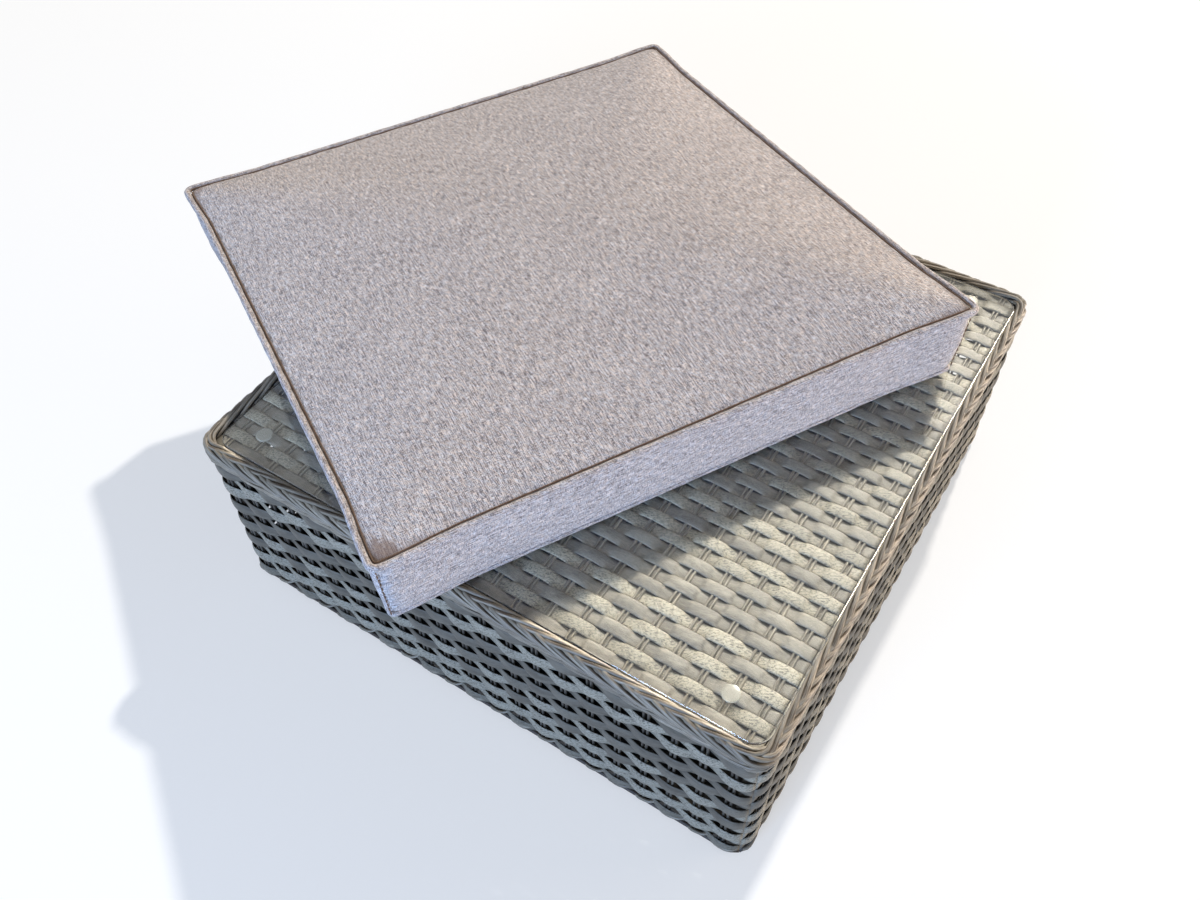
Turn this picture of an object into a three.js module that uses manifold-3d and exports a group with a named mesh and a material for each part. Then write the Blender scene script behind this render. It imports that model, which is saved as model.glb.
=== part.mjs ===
// Outdoor ottoman footstool: a woven wicker base with a loose glass top and a boxed seat cushion.
// Millimetres, +Z up. The origin is at the middle of the floor under the whole assembly.

import * as THREE from 'three';
import { mergeVertices } from 'three/addons/utils/BufferGeometryUtils.js';
import Module from 'manifold-3d';

const wasm = await Module();
wasm.setup();

// Base: its overall size and its weave
const stakePlaneWidth = 593;
const weavePlaneHeight = 210;
const stakePitch = 27.5;
const stakeWidth = 7;
const stakeThickness = 2.6;
const stripThickness = 1.6;
const rowPitch = 12.88;
const rowWidth = 12;
const coursePitch = 14.2;
const courseWidth = 12.6;
const courseRimGap = 0.8;
const wallFoot = 6.4;
const seatGap = 0.3;
const joinLap = 0.4;

// Frame tubes, their glides and the braces under the woven top
const postDiameter = 22;
const postSetback = 15.7;
const tubeWall = 1.5;
const railDepth = 20;
const railHeight = 20;
const braceWidth = 20;
const braceHeight = 15;
const braceSpacing = 190;
const glideDiameter = 24;
const glideHeight = 5;
const glideStem = 15;
const bottomRailLift = 0.5;

// Plaited rim, from its inner edge on the woven top to its lower edge on the wall
const rimReach = 6.6;
const rimRollHeight = 5.2;
const rimRollWidth = 2.7;
const rimCrown = 9.2;
const rimDrop = 19.2;
const rimThickness = 3.5;
const rimGroove = 1.4;

// Border strand round the foot of each wall
const borderHeight = 10;
const borderFoot = 3.5;
const borderThickness = 3.2;

// Glass and its bumpers: the glass lies inside the rim's middle roll and is pushed towards the near corner
const glassRimGap = 2.5;
const glassThickness = 5;
const glassCornerRadius = 17;
const glassEdgeBevel = 0.8;
const glassShift = 5.5;
const glassLift = 7.4;
const bumperDiameter = 16.5;
const bumperTaper = 0.7;
const bumperSideInset = 38.5;
const bumperFrontInset = 25.6;

// Cushion
const cushionSize = 596;
const cushionSeamHeight = 82.2;
const cushionCrown = 27;
const cushionCornerRadius = 10;
const cushionDrawIn = 4;
const cushionShiftX = -129;
const cushionShiftY = 43;
const cushionYaw = -29.4;
const pipingDiameter = 6.4;
const clothThickness = 1;
const bottomPipingHeight = 4.4;

// Zip in the boxing
const zipEndGap = 5;
const zipTapeHeight = 26;
const zipTapeThickness = 0.9;
const zipCoilHeight = 4.4;
const zipCoilThickness = 1.4;
const sliderLength = 11;
const sliderHeight = 8;
const sliderThickness = 1.6;
const pullLength = 24;
const pullHeight = 5;
const pullThickness = 1.2;
const pullClearance = 0.6;

// Shares and counts
const halfShare = 0.5;
const outlineStraightShare = 0.72;
const crownRingShares = [1, 0.95, 0.8, 0.5];
const crownPowerShare = 2.6;
const crownRoundShare = 0.75;
const borderRidgeLowShare = 0.25;
const borderRidgeHighShare = 0.8;
const borderStepShare = 0.4;
const cornerSteps = 2;
const rimCornerSteps = 2;
const cushionCornerSteps = 1;
const postSides = 8;
const glideSides = 8;
const bumperSides = 8;
const pipingSides = 5;
const glassCornerSegments = 2;

const quarterTurn = Math.PI / 2;
const eighthTurn = Math.PI / 4;

// Planes that the pieces share
const stakePlane = stakePlaneWidth * halfShare;
const stakeHalf = stakeThickness * halfShare;
const stakeHalfWidth = stakeWidth * halfShare;
const stakeClearance = stakeHalf + seatGap;
const weaveSlope = (2 * stakeClearance + stripThickness) / (stakePitch - stakeWidth);
const overLift = stakeClearance + stakeHalfWidth * weaveSlope;
const behindLift = -(overLift + stripThickness);
const weaveReach = overLift + stripThickness;
const postCentre = stakePlane - postSetback;
const postRadius = postDiameter * halfShare;
const stakesEachWay = Math.floor((postCentre - stakeHalfWidth - seatGap) / stakePitch);
const stakesPerSide = 2 * stakesEachWay + 1;
const lastStake = stakesEachWay * stakePitch;
const rimInner = stakePlane - rimReach;
const rowsEachWay = Math.floor((rimInner - seatGap - rowWidth * halfShare) / rowPitch);
const lastRow = rowsEachWay * rowPitch;
const rowEdge = lastRow + rowWidth * halfShare;
const firstCourse = weavePlaneHeight - rimDrop - courseRimGap - courseWidth * halfShare;
const courseSpan = firstCourse - courseWidth * halfShare - wallFoot;
const courseCount = Math.floor(courseSpan / coursePitch) + 1;
const lastCourse = firstCourse - (courseCount - 1) * coursePitch;
const frameTop = weavePlaneHeight - weaveReach - seatGap;
const topStakeEnd = stakePlane - stakeHalf - seatGap;
const railFace = stakePlane - weaveReach - seatGap;
const bottomRailBase = glideHeight + bottomRailLift;
const wrapStart = lastStake + stakeHalfWidth + seatGap;
const rimCrownInner = rimInner + rimRollWidth + rimGroove;
const glassHalf = rimCrownInner - glassRimGap - glassShift;
const glassBase = weavePlaneHeight + glassLift;
const cushionBase = glassBase + glassThickness + seatGap;
const boxingHalf = cushionSize * halfShare - pipingDiameter - seatGap;
const zipHalf = boxingHalf * outlineStraightShare - zipEndGap;

const material = (color, roughness, metalness = 0) => (
  new THREE.MeshStandardMaterial({ color, roughness, metalness })
);
const wallWicker = material(0x9a97a0, 0.55);
const topWicker = material(0x9c937f, 0.55);
const rimWicker = material(0x8f8d9a, 0.55);
const cordResin = material(0xcdbf9f, 0.6);
const tubeMetal = material(0x6a5f55, 0.45, 0.6);
const glideResin = material(0x2b2a29, 0.6);
const bumperResin = material(0xdfe8e6, 0.2);
const glassSheet = new THREE.MeshPhysicalMaterial({ color: 0xd9ece6, roughness: 0.03, transmission: 0.9 });
const clothTop = material(0xa9a0a8, 0.95);
const clothSide = material(0x9d95a1, 0.95);
const clothPiping = material(0xa39aa4, 0.95);
const foam = material(0xe8e2cf, 0.9);
const zipResin = material(0x8a828c, 0.7);
const zipMetal = material(0xb9b8b4, 0.35, 0.9);

const footstool = new THREE.Group();
footstool.name = 'outdoor_ottoman_footstool';

function addPiece(parent, name, geometry, finish) {
  const mesh = new THREE.Mesh(geometry, finish);
  mesh.name = name;
  parent.add(mesh);
  return mesh;
}

// One group for each side of the base, turned so that its wall looks along its own -Y
const sideNames = ['front', 'right', 'back', 'left'];
const sideGroups = sideNames.map((name, side) => {
  const group = new THREE.Group();
  group.rotation.z = side * quarterTurn;
  footstool.add(group);
  return group;
});

function signedVolume(positions, faces) {
  const corner = (i) => new THREE.Vector3().fromArray(positions, 3 * faces[i]);
  let volume = 0;
  for (let i = 0; i < faces.length; i += 3) {
    volume += corner(i).dot(corner(i + 1).cross(corner(i + 2)));
  }
  return volume;
}

// A closed geometry whose faces are turned to look outwards
function solidFrom(points, faces) {
  const positions = points.flatMap((point) => point.toArray());
  const turned = signedVolume(positions, faces) < 0 ? faces.slice().reverse() : faces;
  const geometry = new THREE.BufferGeometry();
  geometry.setAttribute('position', new THREE.Float32BufferAttribute(positions, 3));
  geometry.setIndex(turned);
  geometry.computeVertexNormals();
  return geometry;
}

function bandFaces(first, second, count) {
  const faces = [];
  for (let i = 0; i < count; i++) {
    const next = (i + 1) % count;
    faces.push(first + i, first + next, second + next);
    faces.push(first + i, second + next, second + i);
  }
  return faces;
}

// A solid through a row of like rings, with flat ends; outline is the shape of the ends in their plane
function loft(rings, outline) {
  if (THREE.ShapeUtils.isClockWise(outline)) {
    return loft(rings.map((ring) => ring.slice().reverse()), outline.slice().reverse());
  }
  const count = outline.length;
  const lastRing = (rings.length - 1) * count;
  const faces = [];
  for (let i = 0; i + 1 < rings.length; i++) {
    faces.push(...bandFaces(i * count, (i + 1) * count, count));
  }
  for (const [a, b, c] of THREE.ShapeUtils.triangulateShape(outline, [])) {
    faces.push(a, c, b);
    faces.push(lastRing + a, lastRing + b, lastRing + c);
  }
  return solidFrom(rings.flat(), faces);
}

// A ring-shaped solid: the last ring runs on into the first
function hoop(rings) {
  const count = rings[0].length;
  const faces = rings.flatMap((ring, i) => (
    bandFaces(i * count, ((i + 1) % rings.length) * count, count)
  ));
  return solidFrom(rings.flat(), faces);
}

// A solid through rings that closes to one point at each end
function lensSolid(startPoint, rings, endPoint) {
  const count = rings[0].length;
  const points = [...rings.flat(), startPoint, endPoint];
  const start = points.length - 2;
  const end = points.length - 1;
  const lastRing = (rings.length - 1) * count;
  const faces = [];
  for (let i = 0; i < count; i++) {
    const next = (i + 1) % count;
    faces.push(start, next, i);
    faces.push(end, lastRing + i, lastRing + next);
  }
  for (let i = 0; i + 1 < rings.length; i++) {
    faces.push(...bandFaces(i * count, (i + 1) * count, count));
  }
  return solidFrom(points, faces);
}

function toManifold(geometry) {
  const bare = geometry.clone();
  bare.deleteAttribute('normal');
  bare.deleteAttribute('uv');
  const merged = mergeVertices(bare);
  const triVerts = Uint32Array.from(merged.index.array);
  const vertProperties = Float32Array.from(merged.attributes.position.array);
  return new wasm.Manifold(new wasm.Mesh({ numProp: 3, vertProperties, triVerts }));
}

function joined(geometries) {
  const whole = geometries.map(toManifold).reduce((sum, piece) => sum.add(piece));
  const { vertProperties, triVerts } = whole.getMesh();
  const geometry = new THREE.BufferGeometry();
  geometry.setAttribute('position', new THREE.BufferAttribute(vertProperties, 3));
  geometry.setIndex(new THREE.BufferAttribute(triVerts, 1));
  geometry.computeVertexNormals();
  return geometry;
}

function boxBetween(x0, x1, y0, y1, z0, z1) {
  const box = new THREE.BoxGeometry(x1 - x0, y1 - y0, z1 - z0);
  box.translate((x0 + x1) * halfShare, (y0 + y1) * halfShare, (z0 + z1) * halfShare);
  return box;
}

// One flat strip that passes over and behind the stakes. Its section is a half moon with the crown
// outwards; place(along, across, out) puts a point of it in the wall or in the top.
function wovenStrip(goesOver, width, place) {
  const lifts = [];
  for (let stake = -stakesEachWay; stake <= stakesEachWay; stake++) {
    lifts.push({ along: stake * stakePitch, lift: goesOver(stake) ? overLift : behindLift });
  }
  const stations = [
    { along: -wrapStart - joinLap, lift: lifts[0].lift },
    ...lifts,
    { along: wrapStart + joinLap, lift: lifts[lifts.length - 1].lift },
  ];
  const section = [
    new THREE.Vector2(-width * halfShare, 0),
    new THREE.Vector2(width * halfShare, 0),
    new THREE.Vector2(0, stripThickness),
  ];
  const rings = stations.map(({ along, lift }) => (
    section.map((point) => place(along, point.x, lift + point.y))
  ));
  return loft(rings, section);
}

// Rings of a section, given as (distance from the base's middle, height), turned round the post's
// centre. The last one stops short of the mitre by half a seat gap.
function cornerRings(section, side, steps) {
  const inner = Math.min(...section.map((point) => point.x)) - postCentre;
  const endAngle = eighthTurn - Math.asin(seatGap * halfShare / inner);
  const rings = [];
  for (let step = 1; step <= steps; step++) {
    const angle = endAngle * step / steps;
    rings.push(section.map((point) => {
      const reach = point.x - postCentre;
      const along = side * (postCentre + reach * Math.sin(angle));
      return new THREE.Vector3(along, -postCentre - reach * Math.cos(angle), point.y);
    }));
  }
  return rings;
}

// A section that is carried from the wall's left corner to its right corner
function aroundWall(sectionAt, stations) {
  const left = cornerRings(sectionAt(-postCentre), -1, rimCornerSteps).reverse();
  const right = cornerRings(sectionAt(postCentre), 1, rimCornerSteps);
  const straight = stations.map((along) => (
    sectionAt(along).map((point) => new THREE.Vector3(along, -point.x, point.y))
  ));
  return loft([...left, ...straight, ...right], sectionAt(0));
}

// Half of the wrapped corner: the strips of all courses lie edge to edge round the post
function cornerWrap(side) {
  const innerFace = stakePlane - weaveReach - joinLap * halfShare;
  const outerFace = stakePlane + weaveReach;
  const base = lastCourse - courseWidth * halfShare - joinLap;
  const top = weavePlaneHeight - rimDrop - 2 * seatGap;
  const section = [
    new THREE.Vector2(innerFace, base),
    new THREE.Vector2(outerFace, base),
    new THREE.Vector2(outerFace, top),
    new THREE.Vector2(innerFace, top),
  ];
  const start = section.map((point) => new THREE.Vector3(side * wrapStart, -point.x, point.y));
  return loft([start, ...cornerRings(section, side, cornerSteps)], section);
}

// A woven wall. Counted round the whole base, a course goes over every other stake, and the next
// course over the ones between.
function wallWeave(side) {
  const strips = [];
  for (let course = 0; course < courseCount; course++) {
    const height = firstCourse - course * coursePitch;
    const goesOver = (stake) => (side * stakesPerSide + stake + stakesEachWay + course) % 2 === 0;
    const place = (along, across, out) => new THREE.Vector3(along, -stakePlane - out, height + across);
    strips.push(wovenStrip(goesOver, courseWidth, place));
  }
  return joined([...strips, cornerWrap(-1), cornerWrap(1)]);
}

// Strip ends turned over the side rail: one band that keeps clear of the rim, also at its corners
function turnedEnd() {
  const outer = rimInner - seatGap;
  const radius = outer - postCentre;
  const shape = new THREE.Shape();
  shape.moveTo(wrapStart, -outer);
  shape.lineTo(postCentre, -outer);
  shape.absarc(postCentre, -postCentre, radius, -quarterTurn, 0, false);
  shape.absarc(postCentre, postCentre, radius, 0, quarterTurn, false);
  shape.lineTo(wrapStart, outer);
  shape.closePath();
  const depth = 2 * weaveReach;
  const band = new THREE.ExtrudeGeometry(shape, { depth, bevelEnabled: false, curveSegments: 1 });
  band.translate(0, 0, weavePlaneHeight - weaveReach);
  return band;
}

// The woven top: the rows end in the turned-over strip ends along the side rails
function topWeave() {
  const strips = [];
  for (let row = -rowsEachWay; row <= rowsEachWay; row++) {
    const goesOver = (stake) => Math.abs(stake + row + rowsEachWay) % 2 === 1;
    const place = (along, across, out) => (
      new THREE.Vector3(along, row * rowPitch + across, weavePlaneHeight + out)
    );
    strips.push(wovenStrip(goesOver, rowWidth, place));
  }
  return joined([...strips, turnedEnd(), turnedEnd().rotateZ(2 * quarterTurn)]);
}

function rectangleHole(x0, x1, y0, y1) {
  const hole = new THREE.Path();
  hole.moveTo(x0, y0);
  hole.lineTo(x0, y1);
  hole.lineTo(x1, y1);
  hole.lineTo(x1, y0);
  hole.closePath();
  return hole;
}

// A row of stakes cut from one thickness: an edge cord at the top of the outline holds them all
function stakeComb(top, edgeCord, foot) {
  const shape = new THREE.Shape();
  const outer = lastStake + stakeHalfWidth;
  shape.moveTo(-outer, top);
  shape.lineTo(-outer, foot);
  for (let stake = -stakesEachWay; stake < stakesEachWay; stake++) {
    const near = stake * stakePitch + stakeHalfWidth;
    const next = near + stakePitch - stakeWidth;
    shape.lineTo(near, foot);
    shape.lineTo(near, edgeCord);
    shape.lineTo(next, edgeCord);
    shape.lineTo(next, foot);
  }
  shape.lineTo(outer, foot);
  shape.lineTo(outer, top);
  shape.closePath();
  return new THREE.ExtrudeGeometry(shape, { depth: stakeThickness, bevelEnabled: false });
}

// Stakes of the top: cord pairs from the edge cord at the back to the front rail
function topStakes() {
  const comb = stakeComb(topStakeEnd, rowEdge + seatGap, -topStakeEnd);
  comb.translate(0, 0, weavePlaneHeight - stakeHalf);
  return comb;
}

// Stakes of one wall: cord pairs that hang from the edge cord under the rim
function wallStakes() {
  const top = weavePlaneHeight - stakeClearance - seatGap;
  const comb = stakeComb(top, top - 2 * stakeThickness, wallFoot - stakeThickness);
  comb.rotateX(quarterTurn);
  comb.translate(0, -stakePlane + stakeHalf, 0);
  return comb;
}

// Rim section: a small roll on the woven top, a tall middle roll and a long lower roll on the wall
function rimSection() {
  const wallFace = stakePlane + stakeClearance;
  const under = weavePlaneHeight + stakeClearance;
  const outer = wallFace + rimThickness;
  const groove = outer - rimGroove;
  const crown = weavePlaneHeight + rimCrown;
  const lower = weavePlaneHeight - rimDrop;
  const rollTop = under + rimRollHeight;
  return [
    new THREE.Vector2(rimInner, under),
    new THREE.Vector2(wallFace, under),
    new THREE.Vector2(wallFace, lower + rimGroove * halfShare),
    new THREE.Vector2(groove, lower),
    new THREE.Vector2(outer, lower + rimThickness),
    new THREE.Vector2(outer, weavePlaneHeight - rimThickness - rimGroove),
    new THREE.Vector2(groove, weavePlaneHeight - rimThickness),
    new THREE.Vector2(outer, weavePlaneHeight + rimThickness),
    new THREE.Vector2(wallFace, crown),
    new THREE.Vector2(rimCrownInner, crown - rimGroove * halfShare),
    new THREE.Vector2(rimInner + rimRollWidth, rollTop - rimGroove * halfShare),
    new THREE.Vector2(rimInner, rollTop),
  ];
}

function rimRoll() {
  const section = rimSection();
  return aroundWall(() => section, [-postCentre, postCentre]);
}

// Border: a strand that climbs beside each stake and drops again before the next
function borderStrand() {
  const innerFace = stakePlane + weaveReach + seatGap;
  const ridgeLow = borderFoot + borderHeight * borderRidgeLowShare;
  const ridgeHigh = borderFoot + borderHeight * borderRidgeHighShare;
  const middle = (ridgeLow + ridgeHigh) * halfShare;
  const ridges = new Map([[-postCentre, middle]]);
  for (let stake = -stakesEachWay; stake <= stakesEachWay; stake++) {
    ridges.set((stake - borderStepShare) * stakePitch, ridgeLow);
    ridges.set((stake + borderStepShare) * stakePitch, ridgeHigh);
  }
  ridges.set(postCentre, middle);
  const stations = [...ridges.keys()].filter((along) => Math.abs(along) <= postCentre);
  const sectionAt = (along) => [
    new THREE.Vector2(innerFace, borderFoot),
    new THREE.Vector2(innerFace + borderThickness, ridges.get(along) ?? middle),
    new THREE.Vector2(innerFace, borderFoot + borderHeight),
  ];
  return aroundWall(sectionAt, stations);
}

// A square tube along X with open ends, its outer face at -Y
function rail(length, depth, height, outerFace, base) {
  const shape = new THREE.Shape();
  shape.moveTo(-outerFace, base);
  shape.lineTo(-outerFace + depth, base);
  shape.lineTo(-outerFace + depth, base + height);
  shape.lineTo(-outerFace, base + height);
  shape.closePath();
  const boreFace = -outerFace + tubeWall;
  const boreBack = -outerFace + depth - tubeWall;
  shape.holes.push(rectangleHole(boreFace, boreBack, base + tubeWall, base + height - tubeWall));
  const geometry = new THREE.ExtrudeGeometry(shape, { depth: length, bevelEnabled: false });
  geometry.applyMatrix4(new THREE.Matrix4().makeBasis(
    new THREE.Vector3(0, 1, 0),
    new THREE.Vector3(0, 0, 1),
    new THREE.Vector3(1, 0, 0),
  ));
  geometry.translate(-length * halfShare, 0, 0);
  return geometry;
}

function post() {
  const base = glideHeight + seatGap;
  const boreRadius = postRadius - tubeWall;
  const profile = [
    new THREE.Vector2(boreRadius, base),
    new THREE.Vector2(postRadius, base),
    new THREE.Vector2(postRadius, frameTop),
    new THREE.Vector2(boreRadius, frameTop),
    new THREE.Vector2(boreRadius, base),
  ];
  return new THREE.LatheGeometry(profile, postSides).rotateX(quarterTurn);
}

function glide() {
  const radius = glideDiameter * halfShare;
  const stemRadius = postRadius - tubeWall - 2 * seatGap;
  const profile = [
    new THREE.Vector2(0, 0),
    new THREE.Vector2(radius, 0),
    new THREE.Vector2(radius, glideHeight),
    new THREE.Vector2(stemRadius, glideHeight),
    new THREE.Vector2(stemRadius, glideHeight + glideStem),
    new THREE.Vector2(0, glideHeight + glideStem),
  ];
  return new THREE.LatheGeometry(profile, glideSides).rotateX(quarterTurn);
}

function glassPlate() {
  const half = glassHalf - glassEdgeBevel;
  const straight = half - glassCornerRadius;
  const shape = new THREE.Shape();
  shape.moveTo(-straight, -half);
  shape.lineTo(straight, -half);
  shape.absarc(straight, -straight, glassCornerRadius, -quarterTurn, 0, false);
  shape.absarc(straight, straight, glassCornerRadius, 0, quarterTurn, false);
  shape.absarc(-straight, straight, glassCornerRadius, quarterTurn, 2 * quarterTurn, false);
  shape.absarc(-straight, -straight, glassCornerRadius, 2 * quarterTurn, 3 * quarterTurn, false);
  const geometry = new THREE.ExtrudeGeometry(shape, {
    depth: glassThickness - 2 * glassEdgeBevel,
    bevelThickness: glassEdgeBevel,
    bevelSize: glassEdgeBevel,
    bevelSegments: 1,
    curveSegments: glassCornerSegments,
  });
  geometry.translate(glassShift, -glassShift, glassBase + glassEdgeBevel);
  return geometry;
}

function bumper() {
  const base = weavePlaneHeight + weaveReach + seatGap;
  const top = glassBase - seatGap;
  const radius = bumperDiameter * halfShare;
  const geometry = new THREE.CylinderGeometry(radius, radius - bumperTaper, top - base, bumperSides);
  geometry.rotateX(quarterTurn);
  geometry.translate(0, 0, (base + top) * halfShare);
  return geometry;
}

// Cushion outline: square with rounded corners, each side drawn in between them
function cushionOutline(half, scale, height) {
  const radius = cushionCornerRadius - (boxingHalf - half);
  const centre = half - radius;
  const points = [];
  for (let side = 0; side < 4; side++) {
    const turn = side * quarterTurn;
    const local = [
      new THREE.Vector2(-half * outlineStraightShare, -half + cushionDrawIn),
      new THREE.Vector2(half * outlineStraightShare, -half + cushionDrawIn),
    ];
    for (let step = 0; step <= cushionCornerSteps; step++) {
      const angle = -quarterTurn + quarterTurn * step / cushionCornerSteps;
      const across = centre + radius * Math.cos(angle);
      local.push(new THREE.Vector2(across, -centre + radius * Math.sin(angle)));
    }
    for (const point of local) {
      point.rotateAround(new THREE.Vector2(0, 0), turn);
      points.push(new THREE.Vector3(point.x * scale, point.y * scale, height));
    }
  }
  return points;
}

function crownRise(share) {
  return cushionCrown * (1 - share ** crownPowerShare) ** crownRoundShare;
}

function crownRings(half, base) {
  return crownRingShares.map((share) => cushionOutline(half, share, base + crownRise(share)));
}

function topPanel() {
  const inside = cushionSeamHeight - clothThickness * halfShare;
  const outside = inside + clothThickness;
  const rings = [...crownRings(boxingHalf, outside).reverse(), ...crownRings(boxingHalf, inside)];
  const peak = new THREE.Vector3(0, 0, outside + cushionCrown);
  const hollow = new THREE.Vector3(0, 0, inside + cushionCrown);
  return lensSolid(peak, rings, hollow);
}

function bottomPanel() {
  const rings = [
    cushionOutline(boxingHalf, 1, clothThickness),
    cushionOutline(boxingHalf, 1, 0),
  ];
  return lensSolid(new THREE.Vector3(0, 0, clothThickness), rings, new THREE.Vector3(0, 0, 0));
}

function boxingBand() {
  const base = clothThickness + seatGap;
  const top = cushionSeamHeight - clothThickness * halfShare - seatGap;
  const loops = [
    cushionOutline(boxingHalf, 1, base),
    cushionOutline(boxingHalf, 1, top),
    cushionOutline(boxingHalf - clothThickness, 1, top),
    cushionOutline(boxingHalf - clothThickness, 1, base),
  ];
  return hoop(loops);
}

function foamBlock() {
  const half = boxingHalf - clothThickness - seatGap;
  const base = clothThickness + seatGap;
  const seam = cushionSeamHeight - clothThickness * halfShare - seatGap;
  const rings = [...crownRings(half, seam).reverse(), cushionOutline(half, 1, base)];
  const peak = new THREE.Vector3(0, 0, seam + cushionCrown);
  return lensSolid(peak, rings, new THREE.Vector3(0, 0, base));
}

// Piping: a round cord in a cloth sleeve, closed into a hoop round one seam
function piping(height) {
  const radius = pipingDiameter * halfShare;
  const centre = radius + seatGap;
  const loops = [];
  for (let side = 0; side < pipingSides; side++) {
    const angle = 2 * Math.PI * side / pipingSides;
    const half = boxingHalf + centre + radius * Math.cos(angle);
    loops.push(cushionOutline(half, 1, height + radius * Math.sin(angle)));
  }
  return hoop(loops);
}

// Zip tape with its coil, along the boxing on the side that faces away from the seat
const zipHeight = cushionSeamHeight * halfShare;
const zipFace = boxingHalf - cushionDrawIn + seatGap;
const coilFace = zipFace + zipTapeThickness + zipCoilThickness;

function zipTape() {
  const shape = new THREE.Shape();
  const edge = zipTapeHeight * halfShare;
  const coil = zipCoilHeight * halfShare;
  const tapeFace = zipFace + zipTapeThickness;
  shape.moveTo(zipFace, -edge);
  shape.lineTo(tapeFace, -edge);
  shape.lineTo(tapeFace, -coil);
  shape.lineTo(coilFace, -coil);
  shape.lineTo(coilFace, coil);
  shape.lineTo(tapeFace, coil);
  shape.lineTo(tapeFace, edge);
  shape.lineTo(zipFace, edge);
  shape.closePath();
  const geometry = new THREE.ExtrudeGeometry(shape, { depth: 2 * zipHalf, bevelEnabled: false });
  geometry.applyMatrix4(new THREE.Matrix4().makeBasis(
    new THREE.Vector3(0, 1, 0),
    new THREE.Vector3(0, 0, 1),
    new THREE.Vector3(1, 0, 0),
  ));
  geometry.translate(-zipHalf, 0, zipHeight);
  return geometry;
}

const sliderStart = -zipHalf;
const sliderFace = coilFace + seatGap + sliderThickness;

function zipSlider() {
  const half = sliderHeight * halfShare;
  return boxBetween(
    sliderStart, sliderStart + sliderLength,
    coilFace + seatGap, sliderFace,
    zipHeight - half, zipHeight + half,
  );
}

function zipPull() {
  const half = pullHeight * halfShare;
  const near = sliderFace + pullClearance;
  const start = sliderStart + (sliderLength - pullThickness) * halfShare;
  return boxBetween(
    start, start + pullLength,
    near, near + pullThickness,
    zipHeight - half, zipHeight + half,
  );
}

// The base: four walls with their stakes, rim and border, round a frame of tubes
sideNames.forEach((name, side) => {
  const group = sideGroups[side];
  const railLength = 2 * (postCentre - postRadius - seatGap);
  const topRail = rail(railLength, railDepth, railHeight, railFace, frameTop - railHeight);
  const bottomRail = rail(railLength, railDepth, railHeight, railFace, bottomRailBase);
  addPiece(group, `wall_weave_${name}`, wallWeave(side), wallWicker);
  addPiece(group, `wall_stakes_${name}`, wallStakes(), cordResin);
  addPiece(group, `rim_plait_${name}`, rimRoll(), rimWicker);
  addPiece(group, `bottom_border_${name}`, borderStrand(), rimWicker);
  addPiece(group, `top_rail_${name}`, topRail, tubeMetal);
  addPiece(group, `bottom_rail_${name}`, bottomRail, tubeMetal);
  const corner = addPiece(group, `corner_post_${side + 1}`, post(), tubeMetal);
  corner.position.set(postCentre, -postCentre, 0);
  const foot = addPiece(group, `foot_glide_${side + 1}`, glide(), glideResin);
  foot.position.set(postCentre, -postCentre, 0);
});

addPiece(footstool, 'top_weave', topWeave(), topWicker);
addPiece(footstool, 'top_stakes', topStakes(), cordResin);

['left', 'right'].forEach((name, index) => {
  const centre = (2 * index - 1) * braceSpacing * halfShare;
  const length = 2 * (railFace - railDepth - seatGap);
  const geometry = rail(length, braceWidth, braceHeight, braceWidth * halfShare, frameTop - braceHeight);
  geometry.rotateZ(quarterTurn);
  geometry.translate(centre, 0, 0);
  addPiece(footstool, `top_brace_${name}`, geometry, tubeMetal);
});

// The loose glass top and the bumpers that it sits on
addPiece(footstool, 'glass_top', glassPlate(), glassSheet);
const bumperX = glassHalf - bumperSideInset;
const bumperY = glassHalf - bumperFrontInset;
[[1, -1], [1, 1], [-1, 1], [-1, -1]].forEach(([sideX, sideY], index) => {
  const pad = addPiece(footstool, `glass_bumper_${index + 1}`, bumper(), bumperResin);
  pad.position.set(sideX * bumperX, sideY * bumperY, 0);
});

// The cushion, turned and pushed to one side as it lies in use
const cushion = new THREE.Group();
cushion.rotation.z = THREE.MathUtils.degToRad(cushionYaw);
cushion.position.set(cushionShiftX, cushionShiftY, cushionBase);
footstool.add(cushion);
addPiece(cushion, 'cushion_foam', foamBlock(), foam);
addPiece(cushion, 'cushion_top_panel', topPanel(), clothTop);
addPiece(cushion, 'cushion_boxing', boxingBand(), clothSide);
addPiece(cushion, 'cushion_bottom_panel', bottomPanel(), clothSide);
addPiece(cushion, 'cushion_top_piping', piping(cushionSeamHeight), clothPiping);
addPiece(cushion, 'cushion_bottom_piping', piping(bottomPipingHeight), clothPiping);
addPiece(cushion, 'zip_tape', zipTape(), zipResin);
addPiece(cushion, 'zip_slider', zipSlider(), zipMetal);
addPiece(cushion, 'zip_pull', zipPull(), zipMetal);

// The whole is moved so that the middle of its floor outline is the origin
const extent = new THREE.Box3().setFromObject(footstool, true);
const middle = extent.getCenter(new THREE.Vector3());
footstool.position.set(-middle.x, -middle.y, -extent.min.z);

export default footstool;
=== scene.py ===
"""Outdoor ottoman footstool: woven wicker base, loose glass top and piped box cushion, in metres."""
import math
import bpy
import numpy as np
from mathutils import Matrix, Vector


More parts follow.
